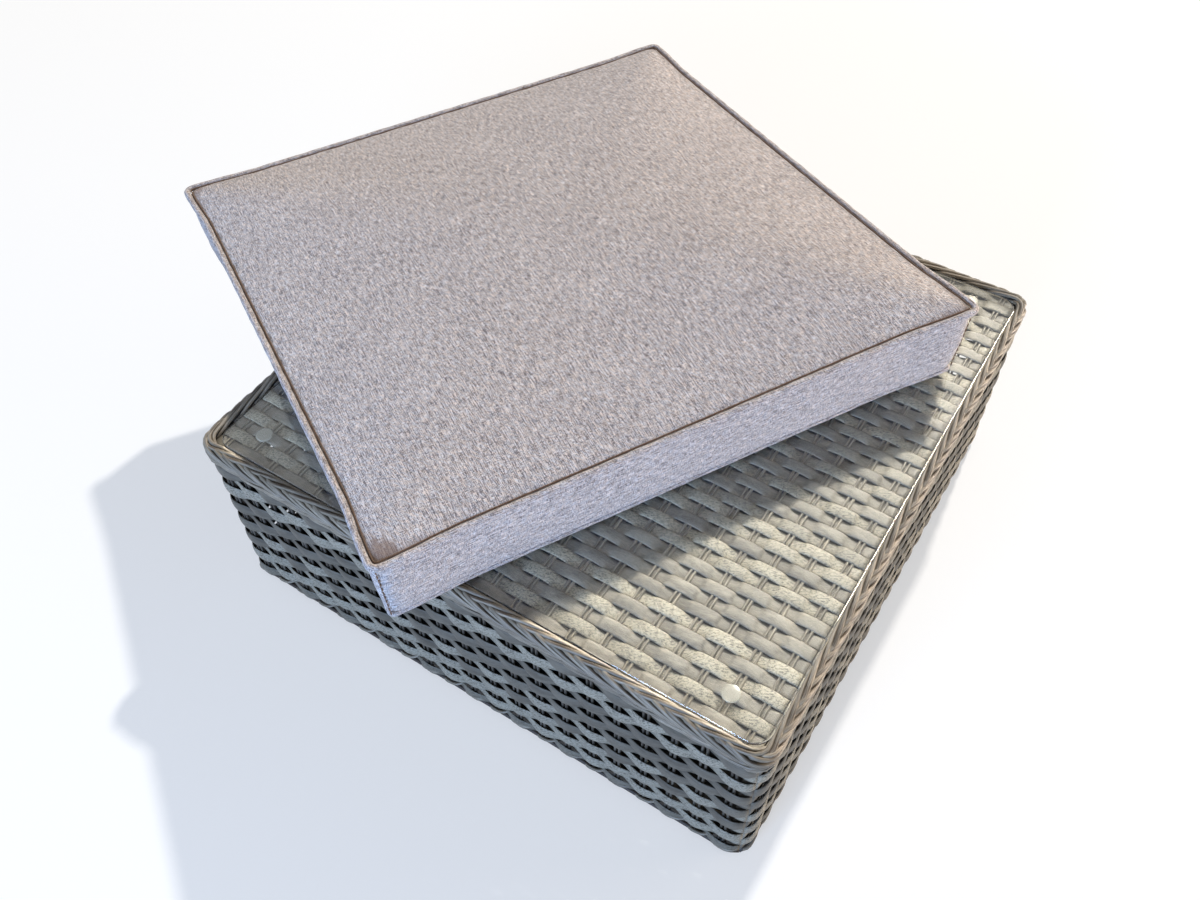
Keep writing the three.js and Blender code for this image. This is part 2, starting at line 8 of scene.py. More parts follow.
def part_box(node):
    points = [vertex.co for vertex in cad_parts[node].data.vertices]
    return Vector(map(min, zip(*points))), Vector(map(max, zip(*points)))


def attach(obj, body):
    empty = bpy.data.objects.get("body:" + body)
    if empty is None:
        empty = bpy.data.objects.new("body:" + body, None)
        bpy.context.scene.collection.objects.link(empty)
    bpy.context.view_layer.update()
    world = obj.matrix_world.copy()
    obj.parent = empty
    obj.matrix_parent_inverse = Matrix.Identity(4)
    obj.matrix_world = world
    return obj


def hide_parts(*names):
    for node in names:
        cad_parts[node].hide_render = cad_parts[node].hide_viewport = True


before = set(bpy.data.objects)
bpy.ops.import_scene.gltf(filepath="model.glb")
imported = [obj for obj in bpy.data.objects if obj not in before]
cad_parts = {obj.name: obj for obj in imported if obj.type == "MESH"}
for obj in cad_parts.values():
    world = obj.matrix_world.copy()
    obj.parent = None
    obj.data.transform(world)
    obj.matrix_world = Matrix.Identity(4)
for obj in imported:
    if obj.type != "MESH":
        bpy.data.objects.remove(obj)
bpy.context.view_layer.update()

# Sizes that the wicker is made to, in metres
MM = 0.001
STAKE_PITCH = 27.5 * MM
CORD_RADIUS = 1.4 * MM
CORD_SPACING = 4.1 * MM
STRIP_THICKNESS = 1.0 * MM
STRIP_CROWN = 0.9 * MM
WALL_DEPTH = 2.9 * MM
TOP_DEPTH = 1.9 * MM
COURSE_PITCH = 14.2 * MM
COURSE_WIDTH = 13.7 * MM
COURSE_SWELL = 4.0 * MM
FIRST_COURSE_DROP = 26.3 * MM
ROW_PITCH = 12.88 * MM
ROW_WIDTH = 12.7 * MM
STAKES_EACH_WAY = 10
ROWS_EACH_WAY = 22
CORDS_PER_SIDE = 2 * (2 * STAKES_EACH_WAY + 1)
ROWS = 2 * ROWS_EACH_WAY + 1
COURSES = 13

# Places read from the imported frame
post_boxes = [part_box(f"corner_post_{i}") for i in (1, 2, 3, 4)]
post_centres = np.array([[(low[k] + high[k]) / 2 for k in range(2)] for low, high in post_boxes])
BASE_MIDDLE = post_centres.mean(axis=0)
POST_CENTRE = float(np.abs(post_centres - BASE_MIDDLE).max())
stakes_low, stakes_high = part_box("top_stakes")
WEAVE_PLANE = (stakes_low[2] + stakes_high[2]) / 2
wall_low, wall_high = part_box("wall_stakes_front")
STAKE_PLANE = float(BASE_MIDDLE[1] - (wall_low[1] + wall_high[1]) / 2)
CORNER_RADIUS = STAKE_PLANE - POST_CENTRE
HALF_WALL = POST_CENTRE + CORNER_RADIUS * math.pi / 4
LAP = 2 * HALF_WALL
LAST_STAKE = STAKES_EACH_WAY * STAKE_PITCH
SIDES = ("front", "right", "back", "left")

random = np.random.default_rng(7)


def stray(low, high, count):
    """A column of random values, one for each strand."""
    return random.uniform(low, high, (count, 1))


def linked(name, data):
    """A new object of the scene that shows some data, at the origin."""
    made = bpy.data.objects.new(name, data)
    bpy.context.scene.collection.objects.link(made)
    return made


def shade(piece, smooth):
    """Shades all faces of a piece smooth or flat."""
    faces = piece.data.polygons
    faces.foreach_set("use_smooth", np.full(len(faces), smooth))


def strands_mesh(name, rings, looks, closed):
    """One mesh of many closed tubes. rings has the shape (strands, steps, points round, 3): the skin joins
    each ring to the next, and a flat face closes each end, unless the tube is closed to a ring. The map "along"
    holds the distance along a strand and the distance round it; each look becomes an attribute."""
    count, steps, around, _ = rings.shape
    ids = np.arange(count * steps * around).reshape(count, steps, around)
    if closed:
        ids = np.concatenate([ids, ids[:, :1]], axis=1)
    near, far = ids[:, :-1], ids[:, 1:]
    quads = np.stack([near, np.roll(near, -1, 2), np.roll(far, -1, 2), far], axis=-1).reshape(-1, 4)
    length = np.linalg.norm(np.diff(rings.mean(axis=2), axis=1), axis=-1)
    along = np.concatenate([np.zeros((count, 1)), np.cumsum(length, axis=1)], axis=1)
    if closed:
        along = np.concatenate([along, along[:, -1:] + length[:, :1]], axis=1)
    girth = np.linalg.norm(np.roll(rings, -1, 2) - rings, axis=-1).mean(axis=(0, 1))
    round_at = np.concatenate([[0], np.cumsum(girth)])
    columns = np.arange(around)
    ends = (along[:, :-1], along[:, :-1], along[:, 1:], along[:, 1:])
    u = np.stack([np.repeat(end[:, :, None], around, 2) for end in ends], -1)
    v = np.stack([round_at[columns], round_at[columns + 1], round_at[columns + 1], round_at[columns]], -1)
    uv = np.stack([u, np.broadcast_to(v, u.shape)], -1).reshape(-1, 2)
    faces = quads.tolist()
    loops_uv = uv.tolist()
    if not closed:
        caps = np.concatenate([ids[:, 0, ::-1], ids[:, -1, :]]).tolist()
        faces += caps
        loops_uv += [[0.0, 0.0]] * (len(caps) * around)
    mesh = bpy.data.meshes.new(name)
    mesh.from_pydata(rings.reshape(-1, 3), [], faces)
    layer = mesh.uv_layers.new(name="along")
    layer.data.foreach_set("uv", np.array(loops_uv, dtype=np.float32).ravel())
    for key, values in looks.items():
        attribute = mesh.attributes.new(key, "FLOAT", "POINT")
        attribute.data.foreach_set("value", np.repeat(np.asarray(values, np.float32), steps * around))
    mesh.update()
    piece = linked(name, mesh)
    shade(piece, True)
    return piece


def mesh_points(mesh):
    """All points of a mesh, as (points, 3)."""
    points = np.empty(len(mesh.vertices) * 3)
    mesh.vertices.foreach_get("co", points)
    return points.reshape(-1, 3)


def outward(piece):
    """Turns a closed mesh's faces outwards where its volume comes out negative."""
    mesh = piece.data
    mesh.calc_loop_triangles()
    corners = np.empty(len(mesh.loop_triangles) * 3, dtype=np.int32)
    mesh.loop_triangles.foreach_get("vertices", corners)
    a, b, c = mesh_points(mesh)[corners.reshape(-1, 3)].transpose(1, 0, 2)
    if np.einsum("ij,ij->i", a, np.cross(b, c)).sum() < 0:
        mesh.flip_normals()
    return piece


def finish_piece(piece, finish, body, slot, *nodes):
    """Gives a piece its finish and its body, and hides the nodes that it stands for. The slot is not used."""
    piece.data.materials.append(finish)
    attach(piece, body)
    if nodes:
        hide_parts(*nodes)


def strand_piece(name, rings, finish, body, slot, *nodes, closed=False, **looks):
    """A finished piece of closed tubes. looks holds its attributes, with one value for each strand."""
    piece = outward(strands_mesh(name, rings, looks, closed))
    finish_piece(piece, finish, body, slot, *nodes)
    return piece


def wall_place(side, along, depth, height):
    """A point of a wall: along runs from the wall's middle and on round the post at the stake plane's radius,
    depth is how far the point stands out from the stake plane, and height is over the floor."""
    straight = np.clip(along, -POST_CENTRE, POST_CENTRE)
    turn = (along - straight) / CORNER_RADIUS
    reach = CORNER_RADIUS + depth
    x = straight + reach * np.sin(turn)
    y = -(POST_CENTRE + reach * np.cos(turn))
    c, s = np.cos(side * math.pi / 2), np.sin(side * math.pi / 2)
    return np.stack([BASE_MIDDLE[0] + c * x - s * y, BASE_MIDDLE[1] + s * x + c * y, height + 0 * x], axis=-1)


def loop_place(distance, depth, height):
    """A point by its distance round the whole base, counted from the middle of the front wall: the distance
    picks the nearest wall, and what is left over is the place along that wall."""
    side = np.round(distance / LAP)
    return wall_place(side, distance - side * LAP, depth, height)


# Flat strips
STRIP_OUTSIDE = 7
STRIP_SEAT = 0.4
STEPS_PER_PITCH = 8
CORNER_STEPS = 7
COURSE_STRAY = 0.25 * MM
ROW_STRAY = 0.2 * MM
TURNED_OVER = 7.5 * MM
TOP_STEPS = np.array([0, 0.26, 0.38, 0.45, 0.5, 0.55, 0.62, 0.74])


def strip_section():
    """The strip's section as (share across, share of the crown, share of the thickness): a shallow arch
    outside and the same arch a thickness further in."""
    across = np.cos(np.linspace(math.pi, 0, STRIP_OUTSIDE))
    inner = across[::-1][1:-1]
    share = np.concatenate([across, inner])
    crown = 1 - share ** 2
    depth = np.concatenate([np.full(STRIP_OUTSIDE, 0.5), np.full(len(inner), -0.5)])
    depth[[0, STRIP_OUTSIDE - 1]] = 0
    return share, crown, depth


def weave_wave(along, over_first):
    """How far the strip stands out, as a share from -1 behind the stakes to 1 over them: a cosine between
    stakes, and beyond the last stake a slower one that passes the middle at the corner's mitre."""
    phase = along / STAKE_PITCH
    inside = np.cos(math.pi * phase)
    last = 1.0 if STAKES_EACH_WAY % 2 == 0 else -1.0
    beyond = last * np.cos(math.pi / 2 * (np.abs(along) - LAST_STAKE) / (HALF_WALL - LAST_STAKE))
    return over_first * np.where(np.abs(along) <= LAST_STAKE, inside, beyond)


def wall_strips(side):
    """The courses of one wall. Each strip's middle follows the weave wave, it swells a little wider where it
    lies over a stake, and its edges wander by a small slow sine of its own."""
    inside = np.linspace(-LAST_STAKE, LAST_STAKE, 2 * STAKES_EACH_WAY * STEPS_PER_PITCH + 1)
    beyond = np.linspace(LAST_STAKE, HALF_WALL, CORNER_STEPS)[1:]
    along = np.concatenate([-beyond[::-1], inside, beyond])
    share, crown, depth_share = strip_section()
    course = np.arange(COURSES)
    stakes_before = side * (2 * STAKES_EACH_WAY + 1) + STAKES_EACH_WAY
    over_first = np.where((stakes_before + course) % 2 == 0, 1.0, -1.0)
    wave = weave_wave(along[None, :], over_first[:, None])
    half = (COURSE_WIDTH + COURSE_SWELL * np.maximum(wave, 0) ** 0.7) / 2
    height = WEAVE_PLANE - FIRST_COURSE_DROP - course[:, None] * COURSE_PITCH
    wander = COURSE_STRAY * np.sin(along * 37 + stray(0, 2 * math.pi, COURSES))
    wander = wander * np.cos(math.pi / 2 * along / HALF_WALL)
    z = (height + wander)[:, :, None] + half[:, :, None] * share
    arch = STRIP_CROWN * (crown - STRIP_SEAT)
    depth = (WALL_DEPTH * wave)[:, :, None] + arch + STRIP_THICKNESS * depth_share
    return wall_place(side, np.broadcast_to(along[None, :, None], z.shape), depth, z)


def top_strips():
    """The rows of the top, from one turned-over end to the other. The wave is the root of a cosine, so that the
    strips lie flat over the stakes and dip steeply between them, and it fades out past the last stake."""
    reach = POST_CENTRE + TURNED_OVER
    inside = ((np.arange(-STAKES_EACH_WAY, STAKES_EACH_WAY)[:, None] + TOP_STEPS) * STAKE_PITCH).ravel()
    inside = np.append(inside, LAST_STAKE)
    beyond = np.linspace(LAST_STAKE, reach, 4)[1:]
    along = np.concatenate([-beyond[::-1], inside, beyond])
    share, crown, depth_share = strip_section()
    row = np.arange(-ROWS_EACH_WAY, ROWS_EACH_WAY + 1)
    over_first = np.where((row + ROWS_EACH_WAY) % 2 == 1, 1.0, -1.0)
    cosine = np.cos(math.pi * along / STAKE_PITCH)
    phase = (np.sign(cosine) * np.abs(cosine) ** 0.5)[None, :] * over_first[:, None]
    fade = np.clip((np.abs(along) - LAST_STAKE) / (reach - LAST_STAKE), 0, 1)[None, :]
    ends = np.sign(np.cos(math.pi * STAKES_EACH_WAY)) * over_first[:, None] * 0.2
    wave = phase * (1 - fade) + ends * fade
    wander = ROW_STRAY * np.sin(along * 31 + stray(0, 2 * math.pi, ROWS))
    y = BASE_MIDDLE[1] + (row[:, None] * ROW_PITCH + wander)[:, :, None] + ROW_WIDTH / 2 * share
    bow = STRIP_CROWN * 0.7 * (crown - STRIP_SEAT)
    z = WEAVE_PLANE + (TOP_DEPTH * wave)[:, :, None] + bow + STRIP_THICKNESS * depth_share
    x = np.broadcast_to(BASE_MIDDLE[0] + along[None, :, None], z.shape)
    return np.stack([x, y, z], axis=-1)


def tube_rings(path, radius, sides=8):
    """Rings round a path: each ring lies square to the path, and a fixed guide line sets where it begins. path
    has the shape (strands, steps, 3)."""
    tangent = np.gradient(path, axis=1)
    tangent /= np.linalg.norm(tangent, axis=-1, keepdims=True)
    guide = np.broadcast_to(np.array([0.31, 0.17, 0.93]), tangent.shape)
    steep = np.abs((tangent * guide).sum(-1, keepdims=True)) > 0.9
    guide = np.where(steep, np.array([0.93, -0.31, 0.17]), guide)
    first = np.cross(tangent, guide)
    first /= np.linalg.norm(first, axis=-1, keepdims=True)
    second = np.cross(tangent, first)
    angle = np.linspace(0, 2 * math.pi, sides, endpoint=False)
    size = np.broadcast_to(np.asarray(radius), path.shape[:2])[:, :, None, None]
    ring = np.cos(angle)[:, None] * first[:, :, None, :] + np.sin(angle)[:, None] * second[:, :, None, :]
    return path[:, :, None, :] + size * ring


CORD_TOP_DROP = 2 * MM
CORD_FOOT_DROP = 204 * MM
CORD_STEPS = 24
CORD_SWAY = 0.3 * MM
stake_places = np.arange(-STAKES_EACH_WAY, STAKES_EACH_WAY + 1) * STAKE_PITCH
CORD_PLACES = np.concatenate([stake_places - CORD_SPACING / 2, stake_places + CORD_SPACING / 2])


def cord_sway(way, waves, count):
    """A slow sine sideways, with a phase of its own for each cord."""
    return CORD_SWAY * np.sin(way * waves + stray(0, 6, count))


def wall_cords(side):
    """The pairs of round cords of one wall, straight down from under the rim to the foot."""
    along = CORD_PLACES + random.uniform(-0.25, 0.25, CORD_PLACES.shape) * MM
    height = np.linspace(WEAVE_PLANE - CORD_TOP_DROP, WEAVE_PLANE - CORD_FOOT_DROP, CORD_STEPS)
    grid_along = along[:, None] + cord_sway(height, 60, len(along))
    path = wall_place(side, grid_along, np.zeros_like(grid_along), np.broadcast_to(height, grid_along.shape))
    return tube_rings(path, CORD_RADIUS)


def top_cords():
    """The pairs of round cords of the top, from front to back, turned down over the rails at both ends."""
    x = CORD_PLACES + random.uniform(-0.2, 0.2, CORD_PLACES.shape) * MM
    y = np.linspace(-1, 1, 2 * CORD_STEPS + 1) * (STAKE_PLANE - 1.5 * MM)
    grid_x = x[:, None] + cord_sway(y, 25, len(x))
    turn_down = 8 * MM
    drop = 3 * MM * np.clip((np.abs(y) - STAKE_PLANE + turn_down) / turn_down, 0, 1) ** 2
    path = np.stack(np.broadcast_arrays(BASE_MIDDLE[0] + grid_x, BASE_MIDDLE[1] + y, WEAVE_PLANE - drop), -1)
    return tube_rings(path, CORD_RADIUS)


# Plaited rim
RIM_STRAND_RADIUS = 1.95 * MM
RIM_STRANDS_PER_SIDE = 21
PAIR_GAP = 10.6 * MM
RIM_SIDES = 10
RIM_STEPS = 17
RIM_SINK = 5.0
RIM_SINK_POWER = 9
# Outline of the rim over the edge, as (distance out from the stake plane, height over the weave plane)
RIM_OUTLINE = np.array([[-7.0, 3.2], [-5.6, 4.8], [-3.4, 5.6], [-1.0, 5.6], [1.0, 4.8], [2.2, 2.8],
                        [2.6, -0.8], [2.7, -6.0], [2.8, -11.0], [2.7, -15.0], [2.2, -17.8]]) * MM
RIM_HEART = np.array([-4.0, -5.0]) * MM


def along_outline(share):
    """The point of the rim's outline at a share of its length from the inner edge to the lower edge."""
    length = np.concatenate([[0], np.cumsum(np.linalg.norm(np.diff(RIM_OUTLINE, axis=0), axis=1))])
    place = np.clip(share, 0, 1) * length[-1]
    return np.stack([np.interp(place, length, column) for column in RIM_OUTLINE.T], axis=-1)


def drawn_in(points, distance):
    """Points of the rim's section moved towards its heart."""
    way = RIM_HEART - points
    return points + way / np.linalg.norm(way, axis=-1, keepdims=True) * np.asarray(distance)[..., None]


def rim_band(side, start_share, end_share, span, shift, lift, radius, pairs=True):
    """One band of the plait: parallel strands, in pairs or single, that climb or fall across the band while
    they run along the wall. Both ends sink under the next band, and get thinner, by a high power of a
    cosine."""
    spacing = LAP / RIM_STRANDS_PER_SIDE
    first = side * LAP - HALF_WALL + spacing * (np.arange(RIM_STRANDS_PER_SIDE) + shift)
    if pairs:
        first = np.concatenate([first, first + PAIR_GAP])
    t = np.linspace(0, 1, RIM_STEPS)
    count = len(first)
    distance = first[:, None] + span * (t - 0.5) + stray(-0.7, 0.7, count) * MM
    share = start_share + (end_share - start_share) * (t - 0.05 * np.sin(2 * math.pi * t))
    share = share + stray(-0.008, 0.008, count)
    near_end = np.abs(np.cos(math.pi * t)) ** RIM_SINK_POWER
    sink = (RIM_SINK * near_end - lift + stray(-0.5, 0.5, count)) * MM
    section = drawn_in(along_outline(share), np.broadcast_to(sink, share.shape))
    path = loop_place(distance, section[..., 0], WEAVE_PLANE + section[..., 1])
    thin = radius * (1 - 0.25 * near_end) * stray(0.93, 1.04, count)
    return tube_rings(path, thin, RIM_SIDES)


def rim_strands(side):
    """The three bands of one wall's rim, from the inner edge to the lower edge."""
    upper = rim_band(side, 0.36, 0.0, 3.6 * STAKE_PITCH, 0.00, 0.2, RIM_STRAND_RADIUS, pairs=False)
    middle = rim_band(side, 0.18, 0.76, 2.3 * STAKE_PITCH, 0.35, 0.9, RIM_STRAND_RADIUS)
    lower = rim_band(side, 1.0, 0.62, 3.3 * STAKE_PITCH, 0.70, 0.2, 0.95 * RIM_STRAND_RADIUS, pairs=False)
    return np.concatenate([upper, middle, lower])


def rim_underlay(side):
    """A dark sheet under the plait, painted shade for the gaps between its strands: a thin shell between two
    drawn-in copies of the rim's outline, carried along the wall."""
    turn = np.linspace(POST_CENTRE, HALF_WALL, CORNER_STEPS)
    along = np.concatenate([-turn[::-1], np.linspace(-POST_CENTRE, POST_CENTRE, 9)[1:-1], turn])
    outline = along_outline(np.linspace(0.02, 0.95, 12))
    outer, inner = (drawn_in(outline, np.full(len(outline), inset)) for inset in (2.4 * MM, 3.2 * MM))
    section = np.concatenate([outer, inner[::-1]])
    grid_along = np.broadcast_to(along[:, None], (len(along), len(section)))
    return wall_place(side, grid_along, section[None, :, 0], WEAVE_PLANE + section[None, :, 1])[None]


# Border at the foot of the walls
BORDER_RADIUS = 1.7 * MM
BORDER_DROP = 203 * MM
BORDER_CLIMB = 9 * MM
ROLL_RADIUS = 2.4 * MM
ROLL_DROP = 202 * MM


def border_strands(side):
    """A strand at each stake that turns out under the wall's foot, climbs to the right across the last course
    and tucks in again behind the next stake."""
    spacing = LAP / RIM_STRANDS_PER_SIDE
    count = np.arange(RIM_STRANDS_PER_SIDE)
    first = side * LAP - HALF_WALL + spacing * (count + 0.5)
    t = np.linspace(0, 1, 12)
    reach = spacing * np.where(count % 2, 1.0, 1.25)[:, None]
    distance = first[:, None] + reach * (t - 0.5) + stray(-1, 1, len(first)) * MM
    height = WEAVE_PLANE - BORDER_DROP + BORDER_CLIMB * t ** 1.2 + 0 * distance
    depth = (2.6 - 5.5 * np.abs(np.cos(math.pi * t)) ** 5 * np.where(t > 0.5, 1.0, 0.7)) * MM + 0 * distance
    return tube_rings(loop_place(distance, depth, height), BORDER_RADIUS, 8)


def border_roll(side):
    """The strand that lies behind the border's slanting ones, along the whole foot of the wall, painted dark as
    the shade between them.
    """
    along = np.linspace(-HALF_WALL, HALF_WALL, 81)[None, :]
    path = wall_place(side, along, np.full_like(along, 0.4 * MM), np.full_like(along, WEAVE_PLANE - ROLL_DROP))
    return tube_rings(path, ROLL_RADIUS, 8)


# Finishes
def linear(*rgb):
    """Display colour from 0 to 255 as a linear colour."""
    c = np.array(rgb) / 255
    return tuple(np.where(c <= 0.04045, c / 12.92, ((c + 0.055) / 1.055) ** 2.4)) + (1.0,)


def mean_colour(first, second, share):
    """Colour part of the way from the first to the second."""
    return tuple(np.array(first) * (1 - share) + np.array(second) * share)


class Nodes:
    """A node tree with a few short ways to add and join its nodes."""

    def __init__(self, owner):
        owner.use_nodes = True
        self.tree = owner.node_tree

    def put(self, value, target):
        """A number or colour is set on the socket, and a node's result is joined to it."""
        if isinstance(value, (int, float, tuple)):
            target.default_value = value
        else:
            self.tree.links.new(value, target)

    def add(self, kind, inputs=None, **settings):
        """A new node with its settings and what goes into its sockets."""
        node = self.tree.nodes.new(kind)
        for key, value in settings.items():
            setattr(node, key, value)
        for key, value in (inputs or {}).items():
            self.put(value, node.inputs[key])
        return node

    def math(self, operation, first, second=0.0):
        return self.add("ShaderNodeMath", {0: first, 1: second}, operation=operation).outputs[0]

    def surface(self, shader, output="Material Output"):
        self.put(shader, self.tree.nodes[output].inputs["Surface"])


class Finish(Nodes):
    """A material built round one shader."""

    def __init__(self, name, roughness=0.5, specular=0.5):
        self.material = bpy.data.materials.new(name)
        super().__init__(self.material)
        self.shader = self.tree.nodes["Principled BSDF"]
        self.set("Roughness", roughness)
        self.set("Specular IOR Level", specular)

    def set(self, socket, value):
        self.put(value, self.shader.inputs[socket])

    def noise(self, uv, waves, turn=0.0, detail=3.0, roughness=0.55, distortion=0.0):
        """Noise with so many waves to the metre each way, on a map or, without one, in the object's space."""
        source = self.add("ShaderNodeUVMap", uv_map=uv) if uv else self.add("ShaderNodeTexCoord")
        mapping = self.add("ShaderNodeMapping", {
            "Vector": source.outputs["UV" if uv else "Object"], "Rotation": (0, 0, turn),
            "Scale": tuple(1 / part for part in waves)}, vector_type="TEXTURE")
        return self.add("ShaderNodeTexNoise", {
            "Vector": mapping.outputs["Vector"], "Scale": 1.0, "Detail": detail, "Roughness": roughness,
            "Distortion": distortion}).outputs["Fac"]

    def streaks(self, uv, along, across, **values):
        """Noise on a map, with so many waves to the metre along it and across it."""
        return self.noise(uv, (along, across, 1), **values)

    def ramp(self, value, *stops):
        node = self.add("ShaderNodeValToRGB", {"Fac": value})
        elements = node.color_ramp.elements
        while len(elements) < len(stops):
            elements.new(0.5)
        for element, (place, colour) in zip(elements, stops):
            element.position = place
            element.color = colour if isinstance(colour, tuple) else (colour, colour, colour, 1)
        return node.outputs["Color"]

    def weighted(self, first, first_weight, second, second_weight):
        """The sum of two values, each times its weight."""
        return self.math("ADD", self.math("MULTIPLY", first, first_weight),
                         self.math("MULTIPLY", second, second_weight))

    def nudged(self, value, noise, amount):
        """A value moved up and down by a noise about its middle."""
        return self.math("ADD", value, self.math("MULTIPLY", self.math("SUBTRACT", noise, 0.5), amount))

    def mix(self, factor, first, second, blend="MIX"):
        inputs = {0: factor, 6: first, 7: second}
        return self.add("ShaderNodeMix", inputs, data_type="RGBA", blend_type=blend).outputs[2]

    def toned(self, colour, darkest):
        """Colour times the attribute "tone", from the darkest share up to 1."""
        return self.mix(1.0, colour, self.ramp(self.attribute("tone"), (0.0, darkest), (1.0, 1.0)), "MULTIPLY")

    def attribute(self, name):
        return self.add("ShaderNodeAttribute", attribute_name=name).outputs["Fac"]

    def bump(self, height, strength, distance):
        inputs = {"Height": height, "Strength": strength, "Distance": distance}
        self.set("Normal", self.add("ShaderNodeBump", inputs).outputs["Normal"])


FLECK_TURN = math.radians(24)


def strip_finish(name, smooth_dark, smooth_light, cream_dark, cream_light):
    """Flat strip: smooth ones have a fine grain along them, cream ones a coarse fleck. The attribute "cream"
    picks between the two for each strip, and "tone" makes it lighter or darker."""
    finish = Finish(name, roughness=0.5, specular=0.35)
    grain = finish.streaks("along", 160, 1500, detail=4, roughness=0.65)
    broad = finish.streaks("along", 30, 110, detail=3)
    smooth = finish.ramp(finish.weighted(grain, 0.5, broad, 0.5), (0.41, smooth_dark), (0.59, smooth_light))
    fleck = finish.streaks("along", 420, 760, turn=FLECK_TURN, detail=3, roughness=0.6, distortion=0.9)
    patch = finish.streaks("along", 60, 160, detail=2)
    mottle = finish.weighted(fleck, 0.85, patch, 0.15)
    middle = mean_colour(cream_dark, cream_light, 0.6)
    cream = finish.ramp(mottle, (0.41, cream_dark), (0.47, middle), (0.56, cream_light))
    base = finish.mix(finish.attribute("cream"), smooth, cream)
    finish.set("Base Color", finish.toned(base, 0.42))
    relief = finish.math("ADD", finish.math("MULTIPLY", finish.attribute("cream"), 0.6), 0.05)
    finish.bump(finish.weighted(grain, 0.5, fleck, relief), 0.5, 0.0006)
    return finish.material


def strand_finish(name, dark, light, seam):
    """Round strand: fine lengthwise grain with darker streaks, and tone from strand to strand."""
    finish = Finish(name, roughness=0.42, specular=0.4)
    grain = finish.streaks("along", 45, 900, detail=4)
    base = finish.ramp(grain, (0.3, seam), (0.42, dark), (0.72, light))
    finish.set("Base Color", finish.toned(base, 0.4))
    finish.bump(grain, 0.4, 0.0004)
    return finish.material


def plain_finish(name, dark, light, waves, roughness=0.6):
    """Moulded plastic or coated tube: two near tones in a soft mottle with a light orange-peel bump."""
    finish = Finish(name, roughness=roughness)
    mottle = finish.noise(None, (waves, waves, waves), detail=4)
    finish.set("Base Color", finish.ramp(mottle, (0.35, dark), (0.65, light)))
    finish.bump(mottle, 0.15, 0.0003)
    return finish.material


# The walls are woven of the same strips as the top, but their tones are darker: painted shade of walls out of
# the key lamp's light
SHADED_WALL_TONES = (linear(77, 73, 66), linear(112, 107, 97), linear(87, 82, 73), linear(168, 161, 145))
TOP_TONES = (linear(104, 98, 87), linear(143, 136, 122), linear(98, 92, 80), linear(170, 162, 142))
RIM_TONES = (linear(130, 118, 103), linear(192, 181, 162), linear(74, 61, 50))
# The wall cords are the same cords as the top's, but darker: painted shade of the holes they are seen in
CORD_TONES = (linear(66, 62, 58), linear(112, 107, 98), linear(36, 33, 30))
TOP_CORD_TONES = (linear(116, 109, 95), linear(166, 157, 137), linear(84, 76, 64))
# Share of cream and lightness of the courses, counted from the top one; the others are smooth and light
CREAM_COURSES = {1: 0.95, 2: 0.8, 6: 0.2, 7: 0.85, 9: 0.75, 10: 0.85, 11: 0.95, 12: 0.4}
DARK_COURSES = {0: 0.8, 3: 0.7, 4: 0.7, 5: 0.75, 6: 0.6, 8: 0.6, 12: 0.5}

course_cream = np.array([CREAM_COURSES.get(k, 0.0) for k in range(COURSES)])
course_tone = np.array([DARK_COURSES.get(k, 0.9) for k in range(COURSES)])

cord_finish = strand_finish("top cord", *TOP_CORD_TONES)
# Near black brown for the sheet under the plait and the roll under the border: painted shade in their gaps
gap_shade_finish = plain_finish("painted shade under the plait", linear(26, 20, 17), linear(46, 36, 30), 300)
wicker = strip_finish("wall strips", *SHADED_WALL_TONES)
wall_cord = strand_finish("wall cord", *CORD_TONES)
plait = strand_finish("rim strands", *RIM_TONES)
for side, name in enumerate(SIDES):
    strand_piece(f"wall_strips_{name}", wall_strips(side), wicker, "base", "wall_wicker", f"wall_weave_{name}",
                 cream=course_cream, tone=course_tone)
    strand_piece(f"wall_cords_{name}", wall_cords(side), wall_cord, "base", "stake_cord", f"wall_stakes_{name}",
                 tone=random.uniform(0.2, 1, CORDS_PER_SIDE))
    strands = rim_strands(side)
    strand_piece(f"rim_strands_{name}", strands, plait, "base", "rim_wicker", f"rim_plait_{name}",
                 tone=random.uniform(0.25, 1, len(strands)))
    # Painted shade: a dark sheet under the plait, seen in the gaps between its strands
    strand_piece(f"rim_shade_sheet_{name}", rim_underlay(side), gap_shade_finish, "base", "rim_wicker")
    slants = border_strands(side)
    strand_piece(f"border_strands_{name}", slants, plait, "base", "border_wicker", f"bottom_border_{name}",
                 tone=random.uniform(0.1, 0.7, len(slants)))
    # The roll takes the painted gap shade
    strand_piece(f"border_roll_{name}", border_roll(side), gap_shade_finish, "base", "border_wicker", tone=[0.1])

# How cream each row of the top is, from the front row to the back row
top_cream = np.array([0, 1, 0, 1, 0, 1, 0, 0, 0, 0.15, 0.85, 1, 0, 0.7, 0.8, 0.7, 0, 0.1, 1, 0, 0.1, 0.7,
                      0, 0.3, 0.1, 0.4, 1, 0.1, 0, 0, 0.8, 0.6, 0.8, 0.5, 0.8, 0.1, 0, 0, 0.8, 0, 0.7, 0.2,
                      0, 0.5, 0.8])
top_wicker = strip_finish("top strips", *TOP_TONES)
strand_piece("top_strips", top_strips(), top_wicker, "base", "top_wicker", "top_weave",
             cream=top_cream, tone=random.uniform(0.45, 1.0, ROWS))
strand_piece("top_cords", top_cords(), cord_finish, "base", "stake_cord", "top_stakes",
             tone=random.uniform(0.4, 1, CORDS_PER_SIDE))

tube_finish = plain_finish("coated frame tube", linear(58, 50, 44), linear(72, 63, 55), 500, 0.45)
glide_finish = plain_finish("foot glide", linear(34, 33, 32), linear(46, 44, 43), 800, 0.6)


